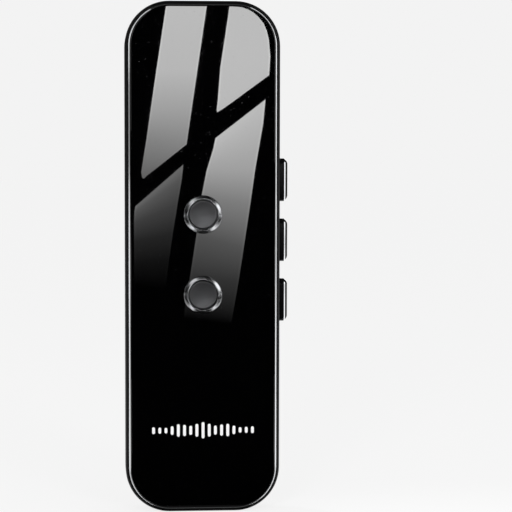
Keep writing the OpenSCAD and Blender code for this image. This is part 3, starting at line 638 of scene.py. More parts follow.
# The finish of each material slot of the record
FINISHES: dict[str, Finish] = {
    "gloss_black_panel": GlossPlate(
        (0.0004, 0.0004, 0.0005), 0.012, coat=1.0, coat_roughness=0.006, uneven=0.004
    ),
    "satin_black_plastic": EtchedPlastic(
        (0.003, 0.003, 0.0032), 0.42, specular=0.12, grain=0.09 * MM, grain_depth=0.006 * MM,
        edge=0.05 * MM, rubbed_and_lit=(0.012, 0.012, 0.013)
    ),
    "bright_trim": DrawnMetal(
        (0.83, 0.84, 0.86), 0.12, 1.0, cloud=0.03, uneven=0.03, grain=0.05 * MM, grain_depth=0.0006 * MM
    ),
    # Its rubbed edges are much lighter than the plastic: wear, and a painted highlight on the edges of the
    # cover and its holes
    "fine_grain_black": EtchedPlastic(
        (0.026, 0.0275, 0.0305), 0.52, specular=0.35, cloud=0.45, cloud_size=18 * MM,
        grain=0.16 * MM, grain_depth=0.016 * MM, edge=0.12 * MM, rubbed_and_lit=(0.13, 0.135, 0.15)
    ),
    "turned_ring_metal": TurnedMetal((0.62, 0.63, 0.65), 0.17, 1.0, cloud=0.05, grain_depth=0.0012 * MM),
    "satin_grey_cap": Finish(
        (0.15, 0.152, 0.158), 0.36, 1.0, cloud=0.05, uneven=0.04, grain=0.06 * MM, grain_depth=0.002 * MM
    ),
    "gloss_black_button": Finish(
        (0.0025, 0.0025, 0.0028), 0.14, specular=0.15, uneven=0.02, grain=0.3 * MM, grain_depth=0.0005 * MM
    ),
    "adhesive_tape": Finish((0.02, 0.02, 0.022), 0.7, grain=0.2 * MM, grain_depth=0.008 * MM),
    "soft_rubber": Finish((0.015, 0.015, 0.016), 0.75, grain=0.15 * MM, grain_depth=0.006 * MM),
    "switch_black": EtchedPlastic((0.012, 0.012, 0.014), 0.45, grain=0.1 * MM),
    "switch_cream": Finish((0.68, 0.64, 0.53), 0.35),
    "board_green": BoardMask((0.006, 0.045, 0.022), 0.3, coat=0.4, grain_depth=0.03 * MM),
    "chip_black": EtchedPlastic((0.010, 0.010, 0.012), 0.4, grain=0.08 * MM, grain_depth=0.003 * MM),
    "bright_can": DrawnMetal((0.75, 0.75, 0.74), 0.25, 1.0),
    "inductor_grey": EtchedPlastic((0.035, 0.035, 0.038), 0.6, cloud=0.3, grain=0.14 * MM),
    "ceramic_tan": Finish((0.33, 0.24, 0.15), 0.4, cloud=0.2, cloud_size=1 * MM),
    "ceramic_white": Finish((0.68, 0.67, 0.62), 0.45),
    "lamp_white": Finish((0.80, 0.80, 0.76), 0.3),
    "clear_pipe": Finish((0.88, 0.92, 0.95), 0.12, transmission=0.7, cloud=0.03),
    "port_steel": DrawnMetal(
        (0.58, 0.58, 0.58), 0.28, 1.0, grain_depth=0.001 * MM, edge=0.05 * MM, rubbed_and_lit=(0.8, 0.8, 0.8)
    ),
    "contact_gold": Finish((0.83, 0.60, 0.22), 0.25, 1.0),
    "cell_foil": WrappedFoil((0.58, 0.59, 0.60), 0.35, 0.9, grain=0.08 * MM, grain_depth=0.003 * MM),
    "protection_amber": Finish((0.55, 0.26, 0.04), 0.25, coat=0.3),
    "tape_white": Finish((0.76, 0.75, 0.70), 0.65, grain=0.3 * MM, grain_depth=0.01 * MM),
    "lead_red": Finish((0.45, 0.015, 0.02), 0.42),
    "lead_black": Finish((0.012, 0.012, 0.013), 0.42),
    "plug_white": Finish((0.74, 0.73, 0.68), 0.4),
    "mesh_black": WovenMesh((0.016, 0.016, 0.018), 0.5, grain_depth=0.05 * MM),
    "basket_black": EtchedPlastic((0.018, 0.018, 0.02), 0.45),
    "magnet_nickel": DrawnMetal((0.62, 0.60, 0.56), 0.25, 1.0),
    "yoke_steel": DrawnMetal((0.45, 0.45, 0.46), 0.35, 1.0),
    "coil_copper": WoundWire((0.72, 0.30, 0.12), 0.3, 0.9, grain_depth=0.04 * MM),
    "cone_black": Finish((0.02, 0.02, 0.022), 0.6, grain=0.25 * MM, grain_depth=0.02 * MM),
    "surround_black": Finish((0.014, 0.014, 0.015), 0.55),
    "screw_steel": DrawnMetal((0.42, 0.42, 0.43), 0.3, 1.0),
}


@dataclass
class Dresser:
    """Gives every CAD node the finish of its material slot, and new pieces theirs."""

    made: dict[str, Material] = field(default_factory=dict)  # The materials made so far, by name

    def material(self, name: str, finish: Finish) -> Material:
        """Makes a material of a name, or gives it again if it is already there.

        Args:
            name: The material's name.
            finish: Its finish.

        Returns:
            The material.
        """
        if name not in self.made:
            self.made[name] = finish.build(name)
        return self.made[name]

    def of_slot(self, slot: str, node: str) -> Material:
        """Gives a slot's material; each ring of turned metal gets grooves about its own axis.

        Args:
            slot: The record's material slot.
            node: The CAD node that it is for.

        Returns:
            The material.
        """
        finish = FINISHES[slot]
        if isinstance(finish, TurnedMetal):
            return self.material(f"turned_{node}", replace(finish, centre=tuple(middle_of(node))))
        return self.material(slot, finish)

    def dress(self, piece: Piece, material: Material) -> None:
        """Puts one material on the whole of a piece.

        Args:
            piece: The piece.
            material: The material.
        """
        if not piece.material_slots:
            piece.data.materials.append(material)
        for holder in piece.material_slots:
            holder.material = material

    def fit(self, piece: Piece, body: str, slot: str, node: str = "", ink: Finish | None = None) -> None:
        """Dresses a new piece, puts it on its body and hides the node that it stands for.

        Args:
            piece: The new piece.
            body: The body that it rides on.
            slot: The record's material slot.
            node: The CAD node that it replaces, if any.
            ink: A finish that isn't the slot's own.
        """
        material = self.material(f"{piece.name}_finish", ink) if ink else self.of_slot(slot, node)
        self.dress(piece, material)
        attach(piece, body)
        if node:
            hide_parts(node)
        LOG.info("built %s, %d faces, on %s", piece.name, len(piece.data.polygons), body)

    def nodes(self) -> None:
        """Dresses each CAD node by its slot."""
        for part in frame["record"]["subparts"]:
            name, slot = part["node"], part["material_slot"]
            self.dress(frame["nodes"][name], self.of_slot(slot, name))
            LOG.info("dressed %s as %s", name, slot)


# ---- New pieces ----


@dataclass
class Assembly:
    """A sub-assembly of new pieces."""

    dresser: Dresser  # Gives its pieces their finish and their body


@dataclass
class BrightTrims(Assembly):
    """The two thin bright bands: one around the front panel, one around the back cover.

    They follow the body's outline, a rectangle with large round corners.
    """

    across: float = 9.0 * MM  # How far a corner's centre lies from the middle, sideways
    low: float = 12.2 * MM  # The height of the lower corners' centres
    high: float = 127.8 * MM  # The height of the upper corners' centres
    radius: float = 12.2 * MM  # The radius of the corners
    steps: int = 48  # How many spans a corner has
    inner: float = 1.28 * MM  # The inset of a band's inner face
    outer: float = 0.86 * MM  # The inset of its outer face
    front_foot: float = 3.77 * MM  # How deep the front band starts, from the middle of the thickness
    rear_foot: float = 3.72 * MM  # The same for the rear band
    shoulder: float = 4.80 * MM  # The depth of the outer face's end, where a narrow ledge starts
    ledge: Span = (0.95 * MM, 4.84 * MM)  # The inset and depth at which the ledge ends and the slope starts
    crest: float = 5.22 * MM  # The depth at which the slope ends, at the inner face
    swell: float = 0.015 * MM  # How far the slope bulges, so that it holds a soft highlight
    rounding: float = 0.03 * MM  # How far the rounding of an edge reaches

    def section(self, foot: float, face: Face) -> Array:
        """Gives a band's section: a bar with a sloping top, whose middle is lifted by the swell.

        Args:
            foot: The depth at which the band starts.
            face: The face that it goes around.

        Returns:
            The rounded section, an array of points by 2.
        """
        lift = self.swell / math.sqrt(2)
        middle = [(self.inner + self.ledge[0]) / 2 - lift, (self.ledge[1] + self.crest) / 2 + lift]
        corners = [[self.inner, foot], [self.outer, foot], [self.outer, self.shoulder]]
        corners += [self.ledge, middle, [self.inner, self.crest]]
        return softened(np.array(corners), self.rounding) * [1, face.value]

    def sweep(self, name: str, section: Array) -> Piece:
        """Carries a closed section along the outline.

        Corner k is a quarter circle from angle 90k to 90k + 90 degrees. At angle a, the section's point
        (inset, y) lies at the corner's centre plus (radius - inset) * (cos a, sin a), at its own y. The
        straight sides are the spans from one corner's last angle to the next one's first.

        Args:
            name: The piece's name.
            section: The points (inset, y) in order, an array of points by 2.

        Returns:
            The swept piece.
        """
        angle = (np.arange(4)[:, None] + np.linspace(0, 1, self.steps + 1))[:, :, None] * math.pi / 2
        inset, y = section.T
        x = self.across * np.array([1, -1, -1, 1])[:, None, None] + (self.radius - inset) * np.cos(angle)
        level = np.array([self.high, self.high, self.low, self.low])[:, None, None]
        z = level + (self.radius - inset) * np.sin(angle)
        faces = grid_faces(4 * (self.steps + 1), len(section), True, True)
        return new_piece(name, grid_points(x, y, z), faces, SAME_POINT)

    def build(self) -> None:
        """Makes both bands in place of the CAD's."""
        feet = (("front_trim", self.front_foot, Face.FRONT), ("rear_trim", self.rear_foot, Face.BACK))
        for name, foot, face in feet:
            band = self.sweep(f"polished_{name}", self.section(foot, face))
            self.dresser.fit(band, "housing", "bright_trim", name)


@dataclass
class FrontButtons(Assembly):
    """The two round buttons on the front: a turned metal ring around a dished cap."""

    # The ring's section, as radius and depth from the middle of the thickness, in millimetres
    ring: Profile = ((4.1, 4.35), (5.2, 4.35), (5.2, 5.56), (5.06, 5.64), (4.3, 5.85), (4.1, 5.75))
    # The cap's section in the same way: its seat on the plunger, its flange and its rim
    cap: Profile = (
        (0, 2.0), (1.2, 2.0), (1.2, 2.7), (4.9, 2.7), (4.9, 3.3),
        (3.9, 3.3), (3.9, 5.40), (3.84, 5.50), (3.72, 5.57), (3.6, 5.58),
    )
    dish_radius: float = 30 * MM  # The radius of the hollow that a fingertip finds
    dish_rows: int = 12  # How many rows of points the hollow has
    steps: int = 128  # How many spans a turn has
    rounding: float = 0.05 * MM  # How far the rounding of an edge reaches

    def cap_section(self) -> Array:
        """Gives the cap's section, from the axis at its seat round to the axis in its hollow.

        The hollow is a circle's arc that starts at the rim's last point: at radius r its depth is that
        of the rim less sqrt(R^2 - r^2) - sqrt(R^2 - reach^2).

        Returns:
            An array of points by 2, as radius and y.
        """
        rim = np.array(self.cap) * MM
        reach, top = rim[-1]
        r = np.linspace(reach, 0, self.dish_rows)[1:]
        depth = top - (np.sqrt(self.dish_radius**2 - r**2) - math.sqrt(self.dish_radius**2 - reach**2))
        edge = softened(rim, self.rounding, closed=False)
        return np.concatenate([edge, np.stack([r, depth], -1)]) * [1, -1]

    def build(self) -> None:
        """Makes both rings and both caps in place of the CAD's."""
        ring = softened(np.array(self.ring) * MM, self.rounding) * [1, -1]
        for place in ("upper", "lower"):
            z = middle_of(f"{place}_button").z
            collar = turned(f"{place}_turned_ring", ring, z, self.steps, True)
            self.dresser.fit(collar, "housing", "turned_ring_metal", f"{place}_button_ring")
            cap = turned(f"{place}_dished_cap", self.cap_section(), z, self.steps, False)
            self.dresser.fit(cap, f"{place}_front_button", "satin_grey_cap", f"{place}_button")


@dataclass
class SideButtons(Assembly):
    """The three long buttons on the side: a black key with a bright cut edge around its face."""

    bodies: tuple[str, ...] = ("volume_up", "volume_down", "power")  # The bodies that they ride on
    half_run: float = 4.25 * MM  # Half the straight length of their sides
    stem: float = 1.65 * MM  # Half the stem's width, which is the radius of its ends
    flange: float = 2.25 * MM  # Half the flange's width
    nub: float = 0.9 * MM  # The nub's radius
    nub_start: float = 17.6 * MM  # The x of the nub's end
    flange_start: float = 18.25 * MM  # The x of the flange's inner face
    flange_end: float = 18.95 * MM  # The x of its outer face
    tip: float = 23.7 * MM  # The x of the face's highest line
    edge: float = 0.34 * MM  # The width of the cut edge
    bulge: float = 0.7 * MM  # How far the face rises from the cut edge to the tip
    plate: float = 0.02 * MM  # The thickness of the bright plating on the cut edge
    margin: float = 0.02 * MM  # How much of the cut stays bare on either side of the plating
    overlap: float = 0.05 * MM  # How far the nub goes into the flange
    steps: int = 24  # How many spans a round end has
    face_rows: int = 12  # How many spans the face has from its edge to its middle
    rounding: float = 0.06 * MM  # How far the rounding of an edge reaches
    merge: float = 1e-6  # Points closer than this become one

    @property
    def shoulder(self) -> float:
        """Gives the x at which the stem ends and the cut edge starts."""
        return self.tip - self.bulge - self.edge

    def key(self) -> Array:
        """Gives the key's section as half width and x.

        It is the flange, the stem, the cut edge, and a face whose x at half width w is
        tip - R + sqrt(R^2 - w^2), with R from the face's half width and bulge.

        Returns:
            An array of points by 2.
        """
        half = self.stem - self.edge
        radius = (half**2 + self.bulge**2) / (2 * self.bulge)
        width = np.linspace(half, 0, self.face_rows + 1)
        face = np.stack([width, self.tip - radius + np.sqrt(radius**2 - width**2)], -1)
        base = np.array([
            [0, self.flange_start], [self.flange, self.flange_start], [self.flange, self.flange_end],
            [self.stem, self.flange_end], [self.stem, self.shoulder], face[0], face[2],
        ])
        return np.concatenate([softened(base, self.rounding, closed=False), face[3:]])

    def plating(self) -> Array:
        """Gives the bright edge's section: a thin bar that lies on the cut, and hardly stands out of it.

        Returns:
            The corners as half width and x, an array of 4 by 2.
        """
        lift = self.plate / math.sqrt(2)
        low = np.array([self.stem - self.margin, self.shoulder + self.margin])
        high = np.array([self.stem - self.edge + self.margin, self.tip - self.bulge - self.margin])
        return np.array([low - 3 * lift, low + lift * 0.5, high + lift * 0.5, high - 3 * lift])

    def pin(self) -> Array:
        """Gives the nub's section, from its end to just inside the flange.

        Returns:
            The points as radius and x, an array of points by 2.
        """
        sunk = self.flange_start + self.overlap
        corners = [[0, self.nub_start], [self.nub, self.nub_start], [self.nub, sunk], [0, sunk]]
        return softened(np.array(corners), self.rounding, closed=False)

    def carry(self, name: str, section: Array, half_run: float, z: float, closed: bool) -> Piece:
        """Carries a section around a slot shape.

        Going round by angle a, a point lies half a run up or down from the middle, plus its half width
        times (cos a, sin a). A half width of 0 is the straight line in the slot's middle, whose two
        sides merge.

        Args:
            name: The piece's name.
            section: The points (half width, x) in order.
            half_run: Half the slot's straight length; 0 makes a round piece.
            z: The height of the slot's middle.
            closed: Whether the section is a ring.

        Returns:
            The piece.
        """
        angle = (np.arange(2)[:, None] + np.linspace(0, 1, self.steps + 1)).ravel() * math.pi
        up = np.repeat([half_run, -half_run], self.steps + 1)
        width, x = section.T[:, :, None]
        points = grid_points(x, width * np.cos(angle), z + up + width * np.sin(angle))
        return new_piece(name, points, grid_faces(len(section), len(angle), closed, True), self.merge)

    def build(self) -> None:
        """Makes the three buttons in place of the CAD's."""
        shells = (
            ("key", self.key(), self.half_run, False, "gloss_black_button"),
            ("cut_edge", self.plating(), self.half_run, True, "bright_trim"),
            ("nub", self.pin(), 0.0, False, "gloss_black_button"),
        )
        for body in self.bodies:
            z = middle_of(f"{body}_button").z
            for part, section, half_run, closed, slot in shells:
                piece = self.carry(f"{body}_{part}", section, half_run, z, closed)
                self.dresser.fit(piece, body, slot, f"{body}_button" if part == "key" else "")


@dataclass
class SoundMark(Assembly):
    """The white mark printed low on the front panel: a row of upright bars, like a sound level."""

    width: float = 28.0 * MM  # From the first bar's outer edge to the last one's
    height: float = 4.5 * MM  # The tallest bar
    middle: float = 22.75 * MM  # The height of the row's middle above the bottom end
    bars: int = 17
    bar_width: float = 0.8 * MM  # The width of a bar, which is also the diameter of its round ends
    ink: float = 0.02 * MM  # The thickness of the print
    # The rings of a bar, from its foot's middle, inside the panel, by its shoulder to its face's middle:
    # each as its size against the bar's, and its height as a share of the ink's
    rings: Profile = ((0, -0.5), (1, -0.5), (1, 0.7), (0.94, 1), (0, 1))
    steps: int = 32  # How many points go round one bar
    white: Finish = Finish((0.95, 0.95, 0.95), 0.35, cloud=0.02)  # The ink's finish

    def heights(self) -> Array:
        """Gives each bar's height: a slow wave that swells in the row's middle, times a fast one.

        Returns:
            An array with the height of each bar, from left to right.
        """
        place = np.linspace(-1, 1, self.bars)
        slow = 0.42 + 0.58 * np.cos(place * math.pi / 2) ** 1.5
        fast = 0.80 + 0.20 * np.cos(place * math.pi * 4)
        return self.height * slow * fast

    def build(self) -> None:
        """Makes the bars as thin closed plates.

        Going round a bar by angle a, a point is half_width * cos(a) across and half_width * sin(a) up,
        from the middle of the round end that it belongs to.
        """
        radius = self.bar_width / 2
        angle = (np.arange(self.steps) + 0.5) * 2 * math.pi / self.steps
        straight = (self.heights() / 2 - radius)[:, None, None] * np.sign(np.sin(angle))
        across = np.linspace(-1, 1, self.bars)[:, None, None] * (self.width - self.bar_width) / 2
        size, height = np.array(self.rings).T[:, :, None]
        x = across + radius * size * np.cos(angle)
        z = self.middle + straight * np.minimum(1, size * 2) + radius * size * np.sin(angle)
        points = grid_points(x, face_of("front_panel", Face.FRONT) - self.ink * height, z)
        faces = grid_faces(len(self.rings), self.steps, False, True, self.bars)
        mark = new_piece("sound_mark", points, faces, SAME_POINT)
        self.dresser.fit(mark, "housing", "lamp_white", ink=self.white)


@dataclass
class GrilleRims(Assembly):
    """The cut edges of the grille's holes: a thin collar in each, with a slope that catches light."""

    # For each column on either side of the middle, its x in millimetres, how many holes it has and their
    # pitch in millimetres
    columns: tuple[tuple[float, int, float], ...] = ((1.57, 6, 3.75), (4.34, 5, 3.12), (7.4, 3, 3.12))
    middle: float = 108.2 * MM  # The height of the grille's middle above the bottom end
    # A collar's section, as radius and depth below the cover's face, in millimetres
    section: Profile = ((0.82, 0.01), (0.82, 0.23), (0.66, 0.23), (0.65, 0.21), (0.70, 0.12), (0.80, 0.01))
    steps: int = 32  # How many points go round a hole
    # The finish of the cut
    cut: Finish = Finish((0.105, 0.108, 0.115), 0.38, cloud=0.05, grain=0.06 * MM, grain_depth=0.002 * MM)

    def centres(self) -> Array:
        """Lists the centres of the holes.

        Returns:
            An array of holes by 2, as x and height.
        """
        spots = [
            (side * x, (k - (count - 1) / 2) * pitch)
            for x, count, pitch in self.columns for side in (-1, 1) for k in range(count)
        ]
        return np.array(spots) * MM + [0, self.middle]

    def build(self) -> None:
        """Makes the collars as one piece.

        A collar's point at radius r, depth d and angle a lies at x + r cos a, face - d, z + r sin a.
        """
        angle = np.arange(self.steps) * 2 * math.pi / self.steps
        r, depth = (np.array(self.section) * MM).T[:, :, None]
        x, z = self.centres().T[:, :, None, None]
        face = face_of("back_cover", Face.BACK)
        points = grid_points(x + r * np.cos(angle), face - depth, z + r * np.sin(angle))
        faces = grid_faces(len(self.section), self.steps, True, True, len(x))
        pit_shade_and_rim_glint = new_piece("grille_rims", points, faces, SAME_POINT)
        self.dresser.fit(pit_shade_and_rim_glint, "housing", "fine_grain_black", ink=self.cut)


# ---- Camera and lamps ----


def aimed(data: bpy.types.ID, at: Point | Array, aim: Point) -> Piece:
    """Sets up a camera or lamp that faces a point.

    Args:
        data: The camera or lamp.
        at: Where it stands.
        aim: What it faces.

    Returns:
        The linked object, under the same name.
    """
    piece = bpy.data.objects.new(data.name, data)
    bpy.context.scene.collection.objects.link(piece)
    piece.location = at
    piece.rotation_euler = (Vector(aim) - Vector(at)).to_track_quat("-Z", "Y").to_euler()
    return piece


@dataclass
class PhotoCamera:
    """The camera of the photograph, which looks at the middle of the body."""

    azimuth: float = -3.7  # How far round it stands, in degrees; below 0 it stands to the viewer's left
    elevation: float = 3.36  # How far above the body's middle it stands, in degrees
    distance: float = 450 * MM  # From the camera to the body's middle
    scale: float = 3.6187  # How many pixels a millimetre takes there
    frame_px: int = 512  # The width and height of the photograph in pixels
    # Where the body's middle lies in it, in pixels from its top left corner
    seen_at: Span = (201.78, 257.35)
    sensor: float = 36.0  # The sensor's width in millimetres
    clip: Span = (0.01, 50.0)  # The nearest and farthest things that it shows

    def place(self) -> Array:
        """Gives the camera's place, from its azimuth, elevation and distance.

        Returns:
            The place as an array of 3.
        """
        turn, rise = math.radians(self.azimuth), math.radians(self.elevation)
        back = np.array([math.sin(turn) * math.cos(rise), -math.cos(turn) * math.cos(rise), math.sin(rise)])
        return np.array(BODY_MIDDLE) + self.distance * back

    def build(self) -> None:
        """Makes the camera and hands it to the scene.

        The lens is the sensor's width times the distance over the width that the photograph takes in,
        and the shift moves the body's middle from the frame's middle to its place in the photograph.
        """
        data = bpy.data.cameras.new("photo_camera")
        seen_width = self.frame_px / self.scale * MM
        data.sensor_width = self.sensor
        data.lens = self.sensor * self.distance / seen_width
        data.shift_x = 0.5 - self.seen_at[0] / self.frame_px
        data.shift_y = self.seen_at[1] / self.frame_px - 0.5
        data.clip_start, data.clip_end = self.clip
        bpy.context.scene.camera = aimed(data, self.place(), BODY_MIDDLE)


@dataclass(frozen=True)
class Lamp:
    """A square soft lamp. Gloss shows the cards instead of it."""

    name: str
    at: Point  # Where it hangs
    power: float  # Its power in watts
    size: float  # The length of its side
    aim: Point = BODY_MIDDLE
    spread: float = 180.0  # How wide its beam is, in degrees

    def hang(self) -> None:
        """Makes the lamp, out of sight of the camera and of gloss."""
        data = bpy.data.lights.new(self.name, "AREA")
        data.energy, data.size, data.spread = self.power, self.size, math.radians(self.spread)
        lamp = aimed(data, self.at, self.aim)
        lamp.visible_glossy = lamp.visible_camera = False


# ---- Studio ----


def light_card(card: Piece, brightness: float, attribute: str = "") -> None:
    """Gives a card its glow and hides it from all but glossy rays.

    Args:
        card: The card.
        brightness: Its brightness, or the factor on the attribute.
        attribute: The mesh attribute with the brightness of each point, if it has one.
    """
    material = bpy.data.materials.new(card.name)
    graph = Graph(material)
    strength: float | Socket = brightness
    if attribute:
        level = graph.add("Attribute", attribute_name=attribute).outputs["Fac"]
        strength = graph.maths("MULTIPLY", level, brightness)
    graph.end(graph.light("Emission", strength))
    card.data.materials.append(material)
    card.visible_camera = card.visible_diffuse = card.visible_shadow = False
    card.visible_transmission = card.visible_volume_scatter = False


@dataclass(frozen=True)
class Pane:
    """One bright pane of the window that the glossy panel shows, given where it shows on the panel."""

    name: str
    # Lines across it from top to bottom, each as the x and height of its left end and of its right end,
    # in millimetres, and the brightness that shows there, from 0 to 1
    lines: tuple[tuple[float, float, float, float, float], ...]


@dataclass
class Window:
    """The tall window behind the camera, as a mirror in the panel's face shows it."""

    eye: Array  # The camera's place
    panes: tuple[Pane, ...] = (
        Pane("upper_left_pane", (
            (-10.0, 138.6, 1.0, 138.6, 0.49), (-12.7, 120.9, -1.6, 120.9, 0.46),
            (-14.3, 110.0, -3.2, 110.0, 0.335), (-15.3, 102.9, -4.5, 101.1, 0.225),
            (-16.8, 93.6, -13.5, 94.0, 0.13), (-16.6, 92.2, -15.3, 92.6, 0.12),
            (-16.3, 91.8, -15.9, 92.0, 0.12),
        )),
        Pane("upper_right_pane", (
            (7.2, 138.4, 10.3, 138.2, 0.49), (7.1, 138.0, 12.2, 137.6, 0.49),
            (7.0, 137.3, 13.6, 136.8, 0.49), (6.9, 136.4, 15.0, 135.6, 0.49),
            (6.7, 135.0, 16.4, 133.9, 0.49), (6.4, 133.2, 17.3, 131.9, 0.49),
            (6.1, 131.0, 17.9, 129.4, 0.49), (4.7, 122.0, 18.3, 124.9, 0.49),
            (4.0, 112.9, 18.0, 119.9, 0.48), (3.7, 110.4, 7.9, 112.5, 0.47),
            (3.9, 109.8, 5.5, 110.8, 0.47),
        )),
        Pane("lower_right_pane", (
            (3.4, 102.8, 17.0, 113.3, 0.49), (2.8, 99.9, 16.4, 106.9, 0.44),
            (1.0, 94.1, 14.2, 94.1, 0.34), (-0.4, 87.1, 12.9, 84.8, 0.2),
            (-1.8, 76.4, 11.1, 72.7, 0.08), (-3.5, 65.4, 9.7, 63.6, 0.03),
            (-4.8, 57.6, 8.3, 55.5, 0.009), (-5.4, 53.6, 7.7, 52.0, 0.0),
        )),
        Pane("lower_left_pane", (
            (-18.4, 84.3, -5.4, 95.6, 0.135), (-18.7, 82.8, -5.8, 91.8, 0.085),
            (-18.8, 79.8, -7.0, 84.8, 0.045), (-18.8, 74.7, -8.3, 76.7, 0.016),
            (-18.8, 68.7, -9.3, 69.7, 0.005), (-18.8, 62.7, -10.3, 61.6, 0.0),
        )),
    )
    distance: float = 0.48  # How far in front of the panel it hangs
    columns: int = 41  # How many points a pane has across
    row_steps: int = 8  # How many spans lie between two given lines
    gloss: float = 0.077  # The share of light that the panel's face sends back
    rim: float = 0.25  # How much brighter a pane's edges are
    rim_share: float = 0.05  # How wide those edges are, as a share of the pane's width

    def grid(self, pane: Pane) -> tuple[Array, Array]:
        """Works out where a pane shows on the panel and how bright.

        At share u across, a point is (1 - u) * left + u * right, and its level is that of its line,
        raised close to either edge. More lines are filled in between those given.

        Args:
            pane: The pane.

        Returns:
            The points on the panel, rows by columns by 2, in metres, and their levels.
        """
        last = len(pane.lines) - 1
        rows = np.linspace(0, last, self.row_steps * last + 1)
        lines = np.stack([np.interp(rows, np.arange(last + 1), given) for given in zip(*pane.lines)], -1)
        u = np.linspace(0, 1, self.columns)[None, :, None]
        spots = (1 - u) * lines[:, None, 0:2] + u * lines[:, None, 2:4]
        edge = np.maximum(0, 1 - np.minimum(u, 1 - u)[..., 0] / self.rim_share)
        return spots * MM, lines[:, 4:] * (1 + self.rim * edge)

    def build(self) -> None:
        """Hangs the panes where a mirror at the panel's face would show them.

        The eye's mirror image behind the face is M. The line from M through a spot S on the face meets
        the window at M + (S - M) * t, where t is their distance along y over that from M to the face.
        """
        face = face_of("front_panel", Face.FRONT)
        image = np.array([self.eye[0], 2 * face - self.eye[1], self.eye[2]])
        reach = (face - self.distance - image[1]) / (face - image[1])
        for pane in self.panes:
            spots, level = self.grid(pane)
            points = image + (grid_points(spots[..., 0], face, spots[..., 1]) - image) * reach
            card = new_piece(pane.name, points, grid_faces(*level.shape, False, False))
            glow = card.data.attributes.new("glow", "FLOAT", "POINT")
            glow.data.foreach_set("value", level.ravel().astype(np.float32))
            light_card(card, 1 / self.gloss, "glow")


@dataclass(frozen=True)
class Card:
    """A flat card that only gloss shows: a dark flag or a bright reflector."""

    name: str
    corners: tuple[Point, ...]  # Its four corners, in order around it
    brightness: float  # How bright it shows

    @classmethod
    def flat(cls, name: str, x: Span, y: Span, z: Span, brightness: float) -> "Card":
        """Makes an oblong card square to the axes; one of its three spans has no width.

        Args:
            name: The card's name.
            x: Its span from left to right.
            y: Its span from front to back.
            z: Its span from low to high.
            brightness: How bright it shows.

        Returns:
            The card.
        """
        turn = ((0, 0), (1, 0), (1, 1), (0, 1))
        if y[0] == y[1]:
            return cls(name, tuple((x[i], y[0], z[j]) for i, j in turn), brightness)
        return cls(name, tuple((x[j], y[i], z[j]) for i, j in turn), brightness)


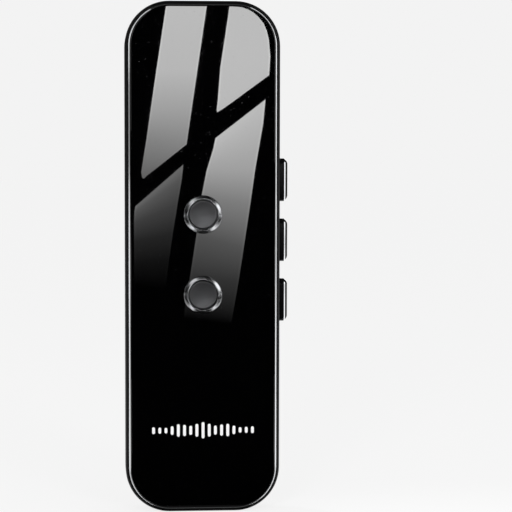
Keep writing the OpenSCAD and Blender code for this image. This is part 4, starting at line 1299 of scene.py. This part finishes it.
@dataclass
class Studio:
    """A pale room: a floor, a backdrop, three soft lamps, and cards that only gloss shows.

    Tall dark flags stand before and behind the body, so gloss shows the room only in a belt across it,
    between the flags.
    """

    eye: Array  # The camera's place
    room: float = 0.55  # The world's brightness for plain light
    backdrop: float = 0.896  # Its brightness where it is seen, a very pale grey
    floor_half: float = 8.0  # Half the floor's width
    floor_colour: Colour = (0.80, 0.80, 0.80)  # The floor's own colour
    floor_share: float = 0.8  # The share of the floor that shows as plain white
    floor_white: float = 1.012  # How bright that share is
    # The middle between the two round buttons, which the cards face
    buttons: Point = (0.0, -5.5 * MM, 71.0 * MM)
    ring_tilt: float = 14.4  # The slope of the buttons' rings against the panel, in degrees
    ring_card_away: float = 0.8  # How far the cards that the rings show hang from them
    flag_away: float = 1.2  # How far the tall flags stand from the body
    flag_half: float = 3.7  # Half their width, which is also their height
    foot: float = -4.2 * MM  # The depth of the body's foot, up to which the floor's flags reach
    # How high the floor's bright cards, its flags and its streaks lie above it
    heights: tuple[float, float, float] = (0.2 * MM, 0.4 * MM, 0.6 * MM)
    streak: Span = (0.09, 0.27)  # How far in front of the body's foot the streaks start and end
    lamps: tuple[Lamp, ...] = (
        Lamp("key_lamp", (-0.232, -0.70, 0.379), 1.6, 0.17),
        Lamp("fill_lamp", (0.334, -0.70, 0.264), 1.6, 0.17),
        Lamp("rear_lamp", (-0.10, 0.10, 0.20), 0.055, 0.02, (-0.005, 0.0055, 0.125), 50.0),
    )

    def ring_card(self, name: str, angle: float, size: float, brightness: float) -> Card:
        """Makes a square card where the rings' slope shows it at one angle round them.

        The slope's normal is n = (sin tilt cos angle, -cos tilt, sin tilt sin angle). Along the line from
        the eye e, the slope shows what lies along 2 (n . e) n - e; the card is square to that.

        Args:
            name: The card's name.
            angle: The angle round the rings, in degrees, from the right and up.
            size: The length of its side.
            brightness: How bright it shows.

        Returns:
            The card.
        """
        turn, lean = math.radians(angle), math.radians(self.ring_tilt)
        normal = Vector((math.sin(lean) * math.cos(turn), -math.cos(lean), math.sin(lean) * math.sin(turn)))
        sight = Vector(self.eye - np.array(self.buttons)).normalized()
        out = 2 * normal.dot(sight) * normal - sight
        side = out.cross(Vector((0, 0, 1))).normalized() * size / 2
        rise = side.cross(out)
        middle = Vector(self.buttons) + self.ring_card_away * out
        corners = (middle - side - rise, middle + side - rise, middle + side + rise, middle - side + rise)
        return Card(name, tuple(tuple(corner) for corner in corners), brightness)

    def streak_card(self, name: str, inner: float, outer: float, brightness: float) -> Card:
        """Makes a card on the floor between two lines through the body's foot, x = share * |y|.

        Args:
            name: The card's name.
            inner: The share of its inner line.
            outer: The share of its outer line.
            brightness: How bright it shows.

        Returns:
            The card.
        """
        near, far = self.streak
        turn = ((inner, near), (outer, near), (outer, far), (inner, far))
        return Card(name, tuple((share * y, -y, self.heights[2]) for share, y in turn), brightness)

    def cards(self) -> list[Card]:
        """Lists the flags and the reflectors.

        Returns:
            The cards, in the order in which they are hung.
        """
        away, half = self.flag_away, self.flag_half
        low, mid = self.heights[:2]
        return [
            Card.flat("front_flag", (-half, half), (-away, -away), (-0.2, half), 0.0),
            Card.flat("rear_flag", (-half, half), (away, away), (-0.2, half), 0.0),
            Card.flat("far_floor_flag", (-0.5, 0.5), (-away, -0.1), (mid, mid), 0.0),
            Card.flat("near_floor_flag", (-0.06, 0.06), (-0.1, -0.0125), (mid, mid), 0.0),
            Card.flat("foot_flag", (-0.06, 0.06), (-0.0125, self.foot), (mid, mid), 0.06),
            Card.flat("left_floor", (-1.0, -0.08), (-0.1, 0.1), (low, low), 1.05),
            Card.flat("right_floor", (0.08, 1.0), (-0.1, 0.2), (low, low), 1.25),
            Card.flat("ceiling_flag", (-0.4, 0.4), (-0.5, 0.6), (1.0, 1.0), 0.03),
            Card.flat("left_grey", (-0.4, -0.4), (-0.15, 0.15), (0.088, 0.144), 0.32),
            Card.flat("right_bright", (0.6, 0.6), (-0.2, 0.2), (0.06, 0.30), 1.35),
            Card.flat("cap_card", (-0.22, -0.02), (-0.8, -0.8), (0.12, 0.32), 1.9),
            self.ring_card("upper_left_card", 127, 0.19, 1.0),
            self.ring_card("right_card", 28, 0.22, 1.8),
            self.streak_card("low_right_card", 0.40, 0.56, 1.7),
            self.streak_card("low_left_card", -0.39, -0.24, 1.5),
        ]

    def world(self) -> None:
        """Makes the world: a very pale grey where it is seen, and a plain level of light elsewhere."""
        world = bpy.data.worlds.new("pale_room")
        graph = Graph(world)
        strength = graph.spread(graph.seen(), self.room, self.backdrop, 0, 1)
        graph.end(graph.light("Background", strength), "World")
        bpy.context.scene.world = world

    def floor(self) -> None:
        """Lays the floor, which is partly plain white where it is seen, and keeps the shadow."""
        side = np.array([-self.floor_half, self.floor_half])
        floor = new_piece("floor", grid_points(side, side[:, None], 0.0), grid_faces(2, 2, False, False))
        material = bpy.data.materials.new("floor")
        graph = Graph(material)
        matt = graph.add("BsdfDiffuse", {"Color": (*self.floor_colour, 1.0)}).outputs[0]
        white = graph.light("Emission", self.floor_white)
        share = graph.maths("MULTIPLY", graph.seen(), self.floor_share)
        graph.end(graph.add("MixShader", {0: share, 1: matt, 2: white}).outputs[0])
        floor.data.materials.append(material)

    def build(self) -> None:
        """Sets up the room, the cards and the lamps."""
        self.world()
        self.floor()
        for card in self.cards():
            piece = new_piece(card.name, np.array(card.corners), np.array([[0, 1, 2, 3]]))
            light_card(piece, card.brightness)
        for lamp in self.lamps:
            lamp.hang()


def main() -> None:
    """Builds the translator and its studio, piece by piece."""
    logging.basicConfig(level=logging.INFO, format="%(message)s")
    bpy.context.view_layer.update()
    bpy.context.scene.view_settings.view_transform = "Standard"
    camera = PhotoCamera()
    camera.build()
    dresser = Dresser()
    dresser.nodes()
    for assembly in (BrightTrims, FrontButtons, SideButtons, SoundMark, GrilleRims):
        assembly(dresser).build()
    Studio(camera.place()).build()
    Window(camera.place()).build()


if __name__ == "__main__":
    main()
